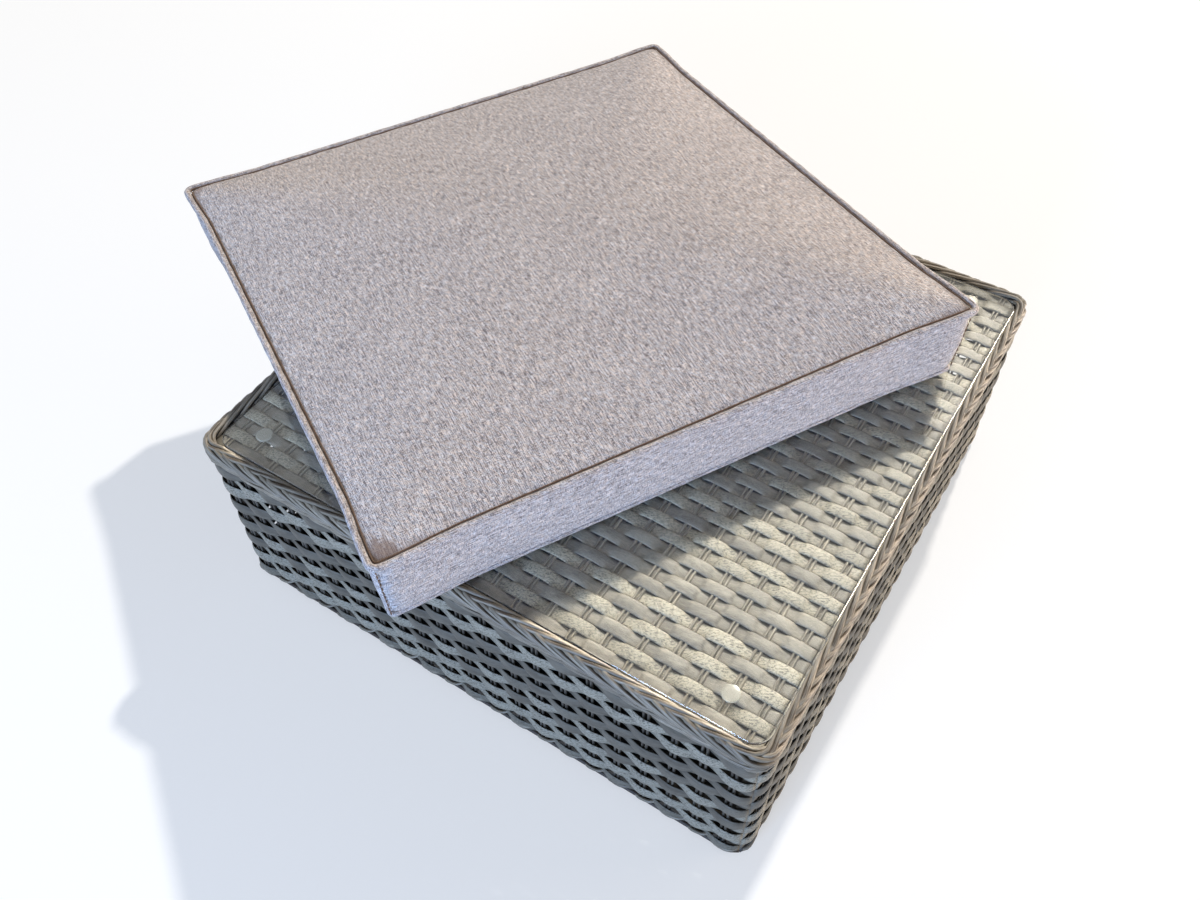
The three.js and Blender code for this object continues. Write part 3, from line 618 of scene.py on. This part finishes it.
def dress(node, finish):
    """Gives a CAD node that keeps its shape its finish."""
    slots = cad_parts[node].material_slots
    if not len(slots):
        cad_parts[node].data.materials.append(finish)
    for slot in slots:
        slot.material = finish


for name in SIDES:
    dress(f"top_rail_{name}", tube_finish)
    dress(f"bottom_rail_{name}", tube_finish)
for index in (1, 2, 3, 4):
    dress(f"corner_post_{index}", tube_finish)
    dress(f"foot_glide_{index}", glide_finish)
dress("top_brace_left", tube_finish)
dress("top_brace_right", tube_finish)


# Glass top and bumpers
def glass_finish(name, tint, roughness, transmission=1.0):
    """Clear glass or plastic that lets light through to what lies under it."""
    finish = Finish(name, roughness=roughness)
    for socket, value in (("Transmission Weight", transmission), ("IOR", 1.5), ("Base Color", tint)):
        finish.set(socket, value)
    clear = finish.add("ShaderNodeBsdfTransparent", {"Color": tint})
    shadow = finish.add("ShaderNodeLightPath").outputs["Is Shadow Ray"]
    shaders = {0: shadow, 1: finish.shader.outputs[0], 2: clear.outputs[0]}
    finish.surface(finish.add("ShaderNodeMixShader", shaders).outputs[0])
    return finish.material


GLASS_CORNER = 17 * MM


def corner_of(node, which):
    """The low corner, 0, or the high corner, 1, of a node's box."""
    return np.array(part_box(node)[which])


def glass_plate():
    """A square plate: rings of a rounded square, drawn in by a quarter round at the top and bottom edge."""
    low, high = corner_of("glass_top", 0), corner_of("glass_top", 1)
    middle, half = (low + high) / 2, (high - low) / 2
    edge, centre = half[2], half[0] - GLASS_CORNER
    quarters = np.arange(4)[:, None] * math.pi / 2
    angle = (np.linspace(0, math.pi / 2, 10) + quarters).ravel()
    centre_x = np.repeat([centre, -centre, -centre, centre], 10)
    centre_y = np.repeat([centre, centre, -centre, -centre], 10)
    lean = np.linspace(-math.pi / 2, math.pi / 2, 9)[:, None]
    radius = GLASS_CORNER - edge * 0.6 * (1 - np.cos(lean))
    rings = np.broadcast_arrays(centre_x + radius * np.cos(angle), centre_y + radius * np.sin(angle),
                                edge * np.sin(lean))
    return (middle + np.stack(rings, -1))[None]


glass = glass_finish("clear glass", (0.982, 0.99, 0.984, 1), 0.02)
shade(strand_piece("glass_plate", glass_plate(), glass, "glass", "clear_glass", "glass_top"), False)


# Profile of a bumper, as (share of its radius, share of its height)
BUMPER_PROFILE = np.array([[0.30, 1.0], [0.85, 1.0], [1.0, 0.86], [0.99, 0.6], [0.9, 0.3], [0.7, 0.1],
                           [0.45, 0.0], [0.2, 0.0]])


def bumper_rings(index):
    """A low dome: circles that draw in to the rim of its flat underside."""
    low, high = corner_of(f"glass_bumper_{index}", 0), corner_of(f"glass_bumper_{index}", 1)
    middle, radius, height = (low + high) / 2, (high - low)[1] / 2, (high - low)[2]
    turn = np.linspace(0, 2 * math.pi, 40, endpoint=False)
    reach, level = BUMPER_PROFILE.T[:, :, None]
    reach = radius * reach
    rings = np.broadcast_arrays(middle[0] + reach * np.cos(turn), middle[1] + reach * np.sin(turn),
                                low[2] + height * level)
    return np.stack(rings, -1)[None]


bumper_clear = glass_finish("clear bumper", linear(190, 184, 168), 0.25, 0.6)
for index in (1, 2, 3, 4):
    strand_piece(f"bumper_{index}", bumper_rings(index), bumper_clear, "glass", "bumper_clear",
                 f"glass_bumper_{index}")

# Cushion: heights count from its underside, and x and y from its middle, in its own square
CUSHION_YAW = math.radians(-29.4)
YAW_COS, YAW_SIN = math.cos(CUSHION_YAW), math.sin(CUSHION_YAW)
CUSHION_MIDDLE = (corner_of("cushion_boxing", 0) + corner_of("cushion_boxing", 1))[:2] / 2
CUSHION_BASE = float(corner_of("cushion_bottom_panel", 0)[2])
CUSHION_HALF = 293.5 * MM
PIPING_BOX = corner_of("cushion_top_piping", 0) + corner_of("cushion_top_piping", 1)
SEAM_HEIGHT = float(PIPING_BOX[2] / 2) - CUSHION_BASE
CROWN = 0.94 * (float(corner_of("cushion_top_panel", 1)[2]) - CUSHION_BASE - SEAM_HEIGHT)
CUSHION_CORNER = 6 * MM
CUSHION_DRAW = 4 * MM
PIPING_RADIUS = 3.2 * MM
PIPING_OUT = 1.2 * MM
LOW_PIPING_INSET = 1.5 * MM
LOW_SEAM = 3.0 * MM
LOW_PIPING_RADIUS = 2.2 * MM
CUSHION_FOOT = 0.99
TOP_SAG = 46 * MM
# Lift, inset and radius of a thin brown cord laid inside the top piping as painted seam shadow
SEAM_SHADOW_LIFT = 1.6 * MM
SEAM_SHADOW_INSET = 3.4 * MM
SEAM_SHADOW_RADIUS = 0.6 * MM
CORNER_STITCHES = 11
FOOT_SAG = 34 * MM
FREE_EDGE = 20 * MM
FULL_SAG = 150 * MM
CUSHION_AROUND = 256
HELD_GAP = 4 * MM
HELD_FADE = 8 * MM
FILL_PRESSURE = 4.0
FILL_FRAMES = 14
FILL_LIMIT = 12 * MM
PUCKER = 0.35 * MM
PUCKER_REACH = 30 * MM

# Zip on the side that faces away: level over the floor, half length, tape width and tooth pitch
ZIP_LEVEL = 250 * MM
ZIP_HALF = 204.7 * MM
ZIP_START = -ZIP_HALF
ZIP_WIDTH = 18 * MM
ZIP_TOOTH = 2 * MM


def cushion_outline(share, inset=0.0):
    """Point of the cushion's outline at a share of the way round: a square with round corners whose sides
    are drawn in, and the draw-in fades out towards the corners by a raised cosine."""
    half = CUSHION_HALF - inset
    radius = CUSHION_CORNER - inset
    straight = 2 * (half - radius)
    arc = radius * math.pi / 2
    lap = straight + arc
    place = (np.asarray(share) % 1.0) * 4 * lap
    side = np.floor(place / lap).astype(int) % 4
    rest = place - side * lap
    on_arc = rest > straight
    angle = np.where(on_arc, (rest - straight) / max(radius, 1e-9), 0)
    travel = np.where(on_arc, straight, rest)
    from_end = np.clip(np.minimum(rest, straight - rest) / (0.14 * straight), 0, 1)
    draw = CUSHION_DRAW * np.where(on_arc, 0, (1 - np.cos(math.pi * from_end)) / 2)
    x = travel - straight / 2 + np.where(on_arc, radius * np.sin(angle), 0)
    y = -(half - radius) - np.where(on_arc, radius * np.cos(angle), radius) + draw
    c, s = np.cos(side * math.pi / 2), np.sin(side * math.pi / 2)
    return c * x - s * y, s * x + c * y


def turned_place(x, y):
    """From the cushion's own square to the frame, seen from above."""
    return CUSHION_MIDDLE[0] + YAW_COS * x - YAW_SIN * y, CUSHION_MIDDLE[1] + YAW_SIN * x + YAW_COS * y


def foot_sag(x, y):
    """How far the underside hangs down: nothing over the glass, and past the glass edge more and more with
    the distance, up to a limit."""
    world_x, world_y = turned_place(x, y)
    past_left = np.maximum(corner_of("glass_top", 0)[0] - world_x, 0)
    past_back = np.maximum(world_y - corner_of("glass_top", 1)[1], 0)
    return FOOT_SAG * np.clip((past_left + past_back - FREE_EDGE) / (FULL_SAG - FREE_EDGE), 0, 1) ** 1.3


def top_sag(x):
    """How far the top seam sinks: nothing on the side that lies on the glass, and more towards the far one."""
    return TOP_SAG * np.clip((CUSHION_HALF - x) / (2 * CUSHION_HALF), 0, 1) ** 0.95


def cushion_place(x, y, z):
    """From the cushion's own square to the frame: drawn in towards the foot, turned by its yaw, set down at
    its place, and sagged by a mix of the underside's and the top's sag that follows the height."""
    rise = np.clip(z / SEAM_HEIGHT, 0, 1)
    taper = CUSHION_FOOT + (1 - CUSHION_FOOT) * rise
    sag = top_sag(x) * rise + foot_sag(x, y) * (1 - rise)
    return np.stack([*turned_place(x * taper, y * taper), CUSHION_BASE + z - sag], axis=-1)


def zip_rise(x):
    """Share of the seam's height at which the cover passes the zip's level, on the side that has the zip."""
    y = np.full_like(x, CUSHION_HALF - CUSHION_DRAW)
    low = foot_sag(x, y)
    return (ZIP_LEVEL - CUSHION_BASE + low) / (SEAM_HEIGHT - top_sag(x) + low)


def cover_face(x):
    """How far the cover stands from the cushion's middle at the zip's level."""
    return (CUSHION_HALF - CUSHION_DRAW) * (CUSHION_FOOT + (1 - CUSHION_FOOT) * zip_rise(x))


def upright_place(x, y, z):
    """From the cushion's own square to the frame, with z over the floor and no sag."""
    return np.stack([*turned_place(x, y), z + 0 * x], axis=-1)


def crown_height(share):
    """Rise of the crown from the seam, share 1, to the middle, share 0."""
    return CROWN * (1 - share ** 2.6) ** 0.75


def cushion_body():
    """Rings of the outline, each with its share of the outline's size and its height: from the middle of the
    top out over the crown, down the boxing, which bulges by a sine, and in again under the flat underside."""
    over = np.array([0.02, 0.12, 0.24, 0.36, 0.48, 0.6, 0.7, 0.78, 0.85, 0.9, 0.94, 0.97, 0.985, 1.0])
    under = np.array([0.985, 0.95, 0.85, 0.6, 0.3, 0.02])
    level = np.linspace(0, 1, 9)[1:]
    share = np.concatenate([over, 1 + 0.006 * np.sin(math.pi * level), under])
    height = np.concatenate([SEAM_HEIGHT + crown_height(over), SEAM_HEIGHT + (LOW_SEAM - SEAM_HEIGHT) * level,
                             np.full(len(under), 0.6 * MM)])
    edge_x, edge_y = cushion_outline(np.arange(CUSHION_AROUND) / CUSHION_AROUND)
    rings = np.broadcast_arrays(edge_x * share[:, None], edge_y * share[:, None], height[:, None])
    return np.stack(rings, -1)


def plain_mesh(name, points, faces):
    """A mesh without maps or attributes."""
    mesh = bpy.data.meshes.new(name)
    mesh.from_pydata(points, [], faces)
    mesh.update()
    return linked(name, mesh)


def apply_modifiers(piece):
    """Replaces the piece's mesh by what its modifiers make of it."""
    graph = bpy.context.evaluated_depsgraph_get()
    made = bpy.data.meshes.new_from_object(piece.evaluated_get(graph), depsgraph=graph)
    piece.modifiers.clear()
    old = piece.data
    piece.data = made
    bpy.data.meshes.remove(old)


def outline_distance(points):
    """Distance of each point from the nearer seam line, in the cushion's own square."""
    x, y = cushion_outline(np.linspace(0, 1, 720, endpoint=False))
    nearest = np.full(len(points), 1e9)
    for height in (SEAM_HEIGHT, LOW_SEAM):
        line = np.stack([x, y, np.full_like(x, height)], -1)
        for start in range(0, len(points), 4000):
            part = points[start:start + 4000]
            gap = np.sqrt(((part[:, None, :] - line[None]) ** 2).sum(-1).min(1))
            nearest[start:start + 4000] = np.minimum(nearest[start:start + 4000], gap)
    return nearest


def fill_cover(cushion, start):
    """Where the points go when the cover is filled: cloth under pressure, with the seams, the underside and the
    zip held, and no point moved by more than the limit."""
    held = np.clip(1 - (outline_distance(start) - HELD_GAP) / HELD_FADE, 0, 1)
    held = np.where(start[:, 2] < 2 * MM, 1.0, held)
    rise_gap = np.abs(start[:, 2] - SEAM_HEIGHT * zip_rise(start[:, 0]))
    beside = np.maximum(rise_gap - ZIP_WIDTH / 2, np.abs(start[:, 0]) - ZIP_HALF)
    zip_side = start[:, 1] > CUSHION_HALF - 20 * MM
    held = np.maximum(held, np.clip(1 - (beside - HELD_GAP) / HELD_FADE, 0, 1) * zip_side)
    group = cushion.vertex_groups.new(name="held")
    for value in np.unique(np.round(held, 1)):
        group.add(np.flatnonzero(np.round(held, 1) == value).tolist(), float(value), "REPLACE")
    cloth = cushion.modifiers.new("filled", "CLOTH")
    cloth.settings.use_pressure = True
    cloth.settings.uniform_pressure_force = FILL_PRESSURE
    cloth.settings.effector_weights.gravity = 0.0
    cloth.settings.vertex_group_mass = "held"
    cloth.settings.quality = 4
    for number in range(1, FILL_FRAMES + 1):
        bpy.context.scene.frame_set(number)
    apply_modifiers(cushion)
    moved = mesh_points(cushion.data) - start
    far_moved = np.linalg.norm(moved, axis=1, keepdims=True)
    bpy.context.scene.frame_set(1)
    return start + moved * np.minimum(1, FILL_LIMIT / np.maximum(far_moved, 1e-9))


def make_cushion():
    """The cover as an evenly meshed body, and the places of its points once it is filled."""
    rings = cushion_body()
    levels, count, _ = rings.shape
    ids = np.arange(levels * count).reshape(levels, count)
    near, far = ids[:-1], ids[1:]
    quads = np.stack([near, far, np.roll(far, -1, 1), np.roll(near, -1, 1)], -1).reshape(-1, 4)
    faces = quads.tolist() + [ids[0].tolist(), ids[-1, ::-1].tolist()]
    cushion = outward(plain_mesh("cushion_cover", rings.reshape(-1, 3), faces))
    remesh = cushion.modifiers.new("even", "REMESH")
    remesh.mode = "VOXEL"
    remesh.voxel_size = 5 * MM
    apply_modifiers(cushion)
    start = mesh_points(cushion.data)
    return cushion, fill_cover(cushion, start)


def settle_cushion(cushion, points):
    """Sets the filled cover in its place, with small puckers beside the top seam, three sines of the way along
    it, that fade with the distance. The attribute "seam" tells how near the top seam a point is, for the
    painted seam shadow, and "corner" how near a top corner, times a weight for that corner, for a brown tint
    there."""
    x, y, z = points.T
    reach = np.maximum(np.abs(x), np.abs(y))
    edge = np.clip(1 - (CUSHION_HALF - reach) / PUCKER_REACH, 0, 1)
    along = np.where(np.abs(x) > np.abs(y), y, x)
    pucker = np.sin(along * 210) + 0.6 * np.sin(along * 131 + 1.7) + 0.5 * np.sin(along * 377 + 0.4)
    lift = PUCKER * pucker * edge * (z > SEAM_HEIGHT - 2 * MM)
    # Painted seam shadow: strongest 3.5 mm inside the top seam, on the top panel
    seam = np.clip(1 - np.hypot(CUSHION_HALF - reach - 3.5 * MM, 0.6 * (z - SEAM_HEIGHT)) / (6 * MM), 0, 1)
    # Brown tint near the top corners, weighted most at the near corner
    corner_gap = np.hypot(CUSHION_HALF - np.abs(x), CUSHION_HALF - np.abs(y))
    corner_tint = np.where(y < 0, np.where(x > 0, 1.0, 0.75), 0.4)
    on_top = z > SEAM_HEIGHT - 3 * MM
    corner = corner_tint * np.exp(-corner_gap / PUCKER_REACH)
    for key, values in (("seam", seam * on_top), ("corner", corner * on_top)):
        attribute = cushion.data.attributes.new(key, "FLOAT", "POINT")
        attribute.data.foreach_set("value", values.astype(np.float32))
    placed = cushion_place(x, y, z + lift)
    cushion.data.vertices.foreach_set("co", placed.astype(np.float32).ravel())
    cushion.data.update()
    smooth = cushion.modifiers.new("fair", "SMOOTH")
    smooth.factor = 0.5
    smooth.iterations = 2
    finer = cushion.modifiers.new("finer", "SUBSURF")
    finer.levels = finer.render_levels = 1
    apply_modifiers(cushion)
    shade(cushion, True)
    lay_cloth(cushion)


def lay_cloth(piece):
    """The map "cloth": along the thread and across it, in metres. Each face takes the pair of the cushion's
    own axes that it looks square to, so that the thread runs lengthwise on the top and on every side."""
    mesh = piece.data
    normals = np.empty(len(mesh.polygons) * 3)
    mesh.polygons.foreach_get("normal", normals)
    totals = np.empty(len(mesh.polygons), dtype=np.int32)
    mesh.polygons.foreach_get("loop_total", totals)
    corners = np.empty(len(mesh.loops), dtype=np.int32)
    mesh.loops.foreach_get("vertex_index", corners)
    turn_back = np.array([[YAW_COS, YAW_SIN, 0], [-YAW_SIN, YAW_COS, 0], [0, 0, 1]])
    facing = np.abs(normals.reshape(-1, 3) @ turn_back.T)
    kind = np.repeat(np.argmax(facing * [1, 1, 0.9], axis=1), totals)
    x, y, z = ((mesh_points(mesh) - [*CUSHION_MIDDLE, CUSHION_BASE]) @ turn_back.T)[corners].T
    u = np.choose(kind, (y, x, x))
    v = np.choose(kind, (z + 2, z + 4, y))
    layer = mesh.uv_layers.new(name="cloth")
    layer.data.foreach_set("uv", np.stack([u, v], -1).astype(np.float32).ravel())


def piping_rings(height, radius, inset):
    """A cord round a seam, for the sewn piping and for the thin cord of painted seam shadow: circles carried
    along the outline, uneven by two slow sines.
    """
    share = np.arange(960) / 960
    x, y = cushion_outline(share, inset)
    uneven = 1 + 0.04 * np.sin(share * 2 * math.pi * 90) + 0.03 * np.sin(share * 2 * math.pi * 41 + 1)
    path = cushion_place(x, y, np.full_like(x, height))
    path, uneven = (np.concatenate([part, part[:1]])[None] for part in (path, uneven))
    return tube_rings(path, radius * uneven, 10)[:, :-1]


def corner_stitches():
    """Short stitches one over the other along each upright corner seam of the boxing."""
    level = np.linspace(0.10, 0.90, CORNER_STITCHES)
    step = 0.30 / CORNER_STITCHES
    half_arc = CUSHION_CORNER * math.pi / 4
    lap = 2 * (CUSHION_HALF - CUSHION_CORNER) + 2 * half_arc
    shares = (np.arange(4) + 1) / 4 - half_arc / (4 * lap)
    x, y = (part[:, None, None] for part in cushion_outline(shares, -0.6 * MM))
    z = SEAM_HEIGHT * (level[None, :, None] + step * np.linspace(-1, 1, 3))
    path = cushion_place(x + 0 * z, y + 0 * z, z + 0 * x)
    return tube_rings(path.reshape(-1, 3, 3), 0.6 * MM, 6)


def cloth_finish(name, dark, middle, light, seam_shadow_and_corner_brown, uv="cloth"):
    """Slubbed melange cloth: streaks of warp and of weft, one or the other on top by a finer noise, in three
    tones, with long slubs, soft clouds, and a tint that turns from thread to thread between warm and cool. The
    attributes "seam" and "corner" lead to a painted brown shadow beside the piping and a brown tint at the
    corners."""
    finish = Finish(name, roughness=0.92, specular=0.2)
    finish.set("Sheen Weight", 0.2)
    finish.set("Sheen Roughness", 0.6)
    warp = finish.streaks(uv, 110, 1500, detail=1, roughness=0.5)
    weft = finish.streaks(uv, 1500, 170, detail=1, roughness=0.5)
    slub = finish.streaks(uv, 50, 1300, detail=1)
    crossing = finish.streaks(uv, 380, 1000, detail=0)
    on_top = finish.ramp(crossing, (0.49, 0.0), (0.55, 1.0))
    threads = finish.math("ADD", warp, finish.math("MULTIPLY", finish.math("SUBTRACT", weft, warp), on_top))
    cloudy = finish.streaks(uv, 14, 14, detail=2)
    value = finish.nudged(finish.nudged(threads, slub, 0.35), cloudy, 0.06)
    colour = finish.ramp(value, (0.40, dark), (0.50, middle), (0.60, light))
    thread_tint = finish.streaks(uv, 150, 560, turn=0.6, detail=1.5)
    tint = finish.ramp(thread_tint, (0.40, (1.0, 0.93, 0.86, 1)), (0.60, (0.91, 0.95, 1.0, 1)))
    colour = finish.mix(1.0, colour, tint, blend="MULTIPLY")
    # Ragged brown tint near the top corners
    ragged = finish.streaks(uv, 60, 260, detail=3, roughness=0.6)
    tint_patch = finish.math("SUBTRACT", finish.attribute("corner"), finish.math("MULTIPLY", ragged, 0.5))
    corner_tint = finish.math("MULTIPLY", finish.ramp(tint_patch, (0.10, 0.0), (0.22, 1.0)), 0.75)
    # Painted seam shadow in brown beside the piping, joined with the corner tint
    shade = finish.math("MAXIMUM", finish.math("MULTIPLY", finish.attribute("seam"), 0.8), corner_tint)
    finish.set("Base Color", finish.mix(shade, colour, seam_shadow_and_corner_brown))
    finish.bump(value, 0.35, 0.0006)
    return finish.material


# Brown of the painted seam shadow beside the piping, also used for the tint near the top corners
SEAM_SHADOW_AND_CORNER_BROWN = linear(126, 100, 84)
COVER_TONES = (linear(122, 114, 116), linear(190, 180, 179), linear(236, 228, 226))
PIPING_TONES = (linear(128, 118, 117), linear(192, 181, 179), linear(232, 223, 220))
cover_cloth = cloth_finish("cover cloth", *COVER_TONES, SEAM_SHADOW_AND_CORNER_BROWN)
piping_cloth = cloth_finish("piping cloth", *PIPING_TONES, SEAM_SHADOW_AND_CORNER_BROWN, "along")
cover, filled = make_cushion()
settle_cushion(cover, filled)
finish_piece(cover, cover_cloth, "cushion", "cover_cloth", "cushion_top_panel", "cushion_boxing",
             "cushion_bottom_panel", "cushion_foam")
# Thread for the corner stitches, whose colour also paints the seam shadow line
thread = plain_finish("stitch thread and painted seam shadow", linear(98, 74, 56), linear(128, 102, 82), 1500, 0.8)
strand_piece("top_piping", piping_rings(SEAM_HEIGHT, PIPING_RADIUS, -PIPING_OUT), piping_cloth, "cushion",
             "piping_cloth", "cushion_top_piping", closed=True)
# Painted seam shadow: a thin brown cord just inside the top piping
strand_piece("seam_shadow_line", piping_rings(SEAM_HEIGHT + SEAM_SHADOW_LIFT, SEAM_SHADOW_RADIUS, SEAM_SHADOW_INSET), thread,
             "cushion", "piping_cloth", closed=True)
strand_piece("corner_stitches", corner_stitches(), thread, "cushion", "piping_cloth")
strand_piece("bottom_piping", piping_rings(LOW_SEAM, LOW_PIPING_RADIUS, LOW_PIPING_INSET), piping_cloth,
             "cushion", "piping_cloth", "cushion_bottom_piping", closed=True)


def zip_tape():
    """The zip along the boxing: a thin tape that follows the cover, with a row of coil turns along its middle
    whose height over the tape is a square wave."""
    x = np.arange(-ZIP_HALF, ZIP_HALF, ZIP_TOOTH / 4)
    turn = np.where(np.floor(np.arange(len(x)) / 2) % 2 == 0, 1.0, 0.55)
    rise = np.array([-1, 1, 1, 0.25, 0.24, -0.24, -0.25, -1]) * ZIP_WIDTH / 2
    out = np.array([-1, -1, 1, 1, 0, 0, 1, 1]) * 0.7 * MM
    coil = np.array([0, 0, 0, 0, 1, 1, 0, 0]) * 2.4 * MM
    depth = cover_face(x)[:, None] + out + coil * turn[:, None]
    grid_x = np.broadcast_to(x[:, None], depth.shape)
    return upright_place(grid_x, depth, np.broadcast_to(ZIP_LEVEL + rise, depth.shape))[None]


def rounded(wave):
    """A circle's sine or cosine on its way to a square's."""
    return np.abs(wave) ** 0.5 * np.sign(wave)


def zip_block(start, end, face, thickness, heights):
    """A small flat block along the zip: sections whose half height is given at even steps from end to end."""
    x = np.linspace(ZIP_START + start * MM, ZIP_START + end * MM, len(heights))
    turn = np.linspace(0, 2 * math.pi, 16, endpoint=False)
    depth = face * MM + thickness * MM / 2 * (1 + rounded(np.cos(turn)))
    height = ZIP_LEVEL + np.array(heights)[:, None] * MM * rounded(np.sin(turn))
    return upright_place(*np.broadcast_arrays(x[:, None], depth, height))[None]


SLIDER_HEIGHTS = (2.6, 3.6, 3.9, 3.7, 3.4, 3.2, 2.4)
PULL_HEIGHTS = (1.4, 2.3, 2.5, 2.0, 1.8, 1.9, 2.4, 2.7, 2.5, 1.5)
zip_cloth = plain_finish("zip tape cloth", linear(104, 96, 98), linear(132, 123, 126), 1400, 0.85)
zip_finish = plain_finish("zip metal", linear(150, 149, 146), linear(186, 185, 182), 900, 0.35)
shade(strand_piece("zip_tape_sewn", zip_tape(), zip_cloth, "cushion", "zip_tape", "zip_tape"), False)
strand_piece("zip_slider_body", zip_block(0, 10, 289.6, 2.2, SLIDER_HEIGHTS), zip_finish, "slider", "zip_metal",
             "zip_slider")
strand_piece("zip_pull_tab", zip_block(3, 26, 292.3, 1.3, PULL_HEIGHTS), zip_finish, "pull", "zip_metal",
             "zip_pull")

# Stage, light and camera
def floor_finish():
    """Pale floor that the camera sees as white and that keeps the shadow. Under the base it is painted dark as
    shade: inside a square with cut corners, where max(|x|, |y|) < half and |x| + |y| < both halves less the
    cut."""
    finish = Finish("pale floor", roughness=0.9, specular=0.1)
    seen = finish.add("ShaderNodeLightPath").outputs
    direct = finish.math("MAXIMUM", seen["Is Camera Ray"], seen["Is Transmission Ray"])
    direct = finish.math("MAXIMUM", direct, seen["Is Glossy Ray"])
    place = finish.add("ShaderNodeTexCoord").outputs["Object"]
    footprint = finish.add("ShaderNodeVectorMath", {0: place, 1: (*BASE_MIDDLE, 0)}, operation="SUBTRACT")
    apart = finish.add("ShaderNodeSeparateXYZ", {0: footprint.outputs[0]})
    x, y = (finish.math("ABSOLUTE", apart.outputs[k]) for k in range(2))
    half = STAKE_PLANE - 2 * MM
    past_side = finish.math("SUBTRACT", finish.math("MAXIMUM", x, y), half)
    past_corner = finish.math("SUBTRACT", finish.math("ADD", x, y), 2 * half - 0.6 * CORNER_RADIUS)
    outside = finish.math("GREATER_THAN", finish.math("MAXIMUM", past_side, past_corner), 0.0)
    # Painted shade: colour 0.06 under the base, 0.5 outside it
    finish.set("Base Color", finish.ramp(outside, (0.0, 0.06), (1.0, 0.5)))
    shown = finish.math("MULTIPLY", finish.math("MULTIPLY", direct, outside), 0.5)
    glow = finish.add("ShaderNodeEmission", {"Strength": shown})
    shaders = {0: finish.shader.outputs[0], 1: glow.outputs[0]}
    finish.surface(finish.add("ShaderNodeAddShader", shaders).outputs[0])
    return finish.material


floor = plain_mesh("floor", [(-6, -6, 0), (6, -6, 0), (6, 6, 0), (-6, 6, 0)], [(0, 1, 2, 3)])
floor.data.materials.append(floor_finish())

world = bpy.data.worlds.new("studio")
bpy.context.scene.world = world
studio = Nodes(world)
sky = studio.tree.nodes["Background"]
sky.inputs["Color"].default_value = (0.96, 0.98, 1.0, 1)
sky.inputs["Strength"].default_value = 0.18
seen = studio.add("ShaderNodeLightPath").outputs
white = studio.add("ShaderNodeBackground")
direct = studio.math("MAXIMUM", seen["Is Camera Ray"], seen["Is Glossy Ray"])
shaders = {0: direct, 1: sky.outputs[0], 2: white.outputs[0]}
studio.surface(studio.add("ShaderNodeMixShader", shaders).outputs[0], "World Output")


def lamp(name, place, target, wide, high, power, colour):
    """A soft rectangular lamp that looks at a point."""
    data = bpy.data.lights.new(name, "AREA")
    data.shape = "RECTANGLE"
    data.size, data.size_y = wide, high
    data.energy = power
    data.color = colour
    light = linked(name, data)
    light.location = place
    light.rotation_euler = (Vector(target) - Vector(place)).to_track_quat("-Z", "Y").to_euler()


lamp("key", (-0.25, 7.95, 8.65), (0.0, -0.05, 0.2), 0.4, 0.4, 1190, (1.0, 0.95, 0.87))
lamp("right fill", (2.29, 1.92, 0.12), (0.3, 0, 0.1), 1.7, 0.5, 128, (1.0, 0.85, 0.70))
lamp("front fill", (0.2, -2.85, 0.85), (0.1, 0, 0.15), 1.2, 1.2, 88, (0.41, 0.62, 1.0))

# The camera, found from the weave of the top: places and directions count from the middle of the woven top
CAMERA_FROM_TOP = Vector((375.5, -639.5, 799.2)) * MM
CAMERA_RIGHT = Vector((0.84377, 0.53662, -0.00949))
CAMERA_DOWN = Vector((0.41375, -0.66163, -0.62536))
CAMERA_LENS = 32.88
camera_data = bpy.data.cameras.new("camera")
camera_data.lens = CAMERA_LENS
camera_data.sensor_width = 36
camera = linked("camera", camera_data)
right_way, up_way = CAMERA_RIGHT.normalized(), (-CAMERA_DOWN).normalized()
back_way = right_way.cross(up_way)
turned = Matrix((right_way, up_way, back_way)).transposed().to_4x4()
camera.matrix_world = Matrix.Translation(Vector((*BASE_MIDDLE, WEAVE_PLANE)) + CAMERA_FROM_TOP) @ turned
bpy.context.scene.camera = camera
bpy.context.scene.view_settings.view_transform = "Standard"
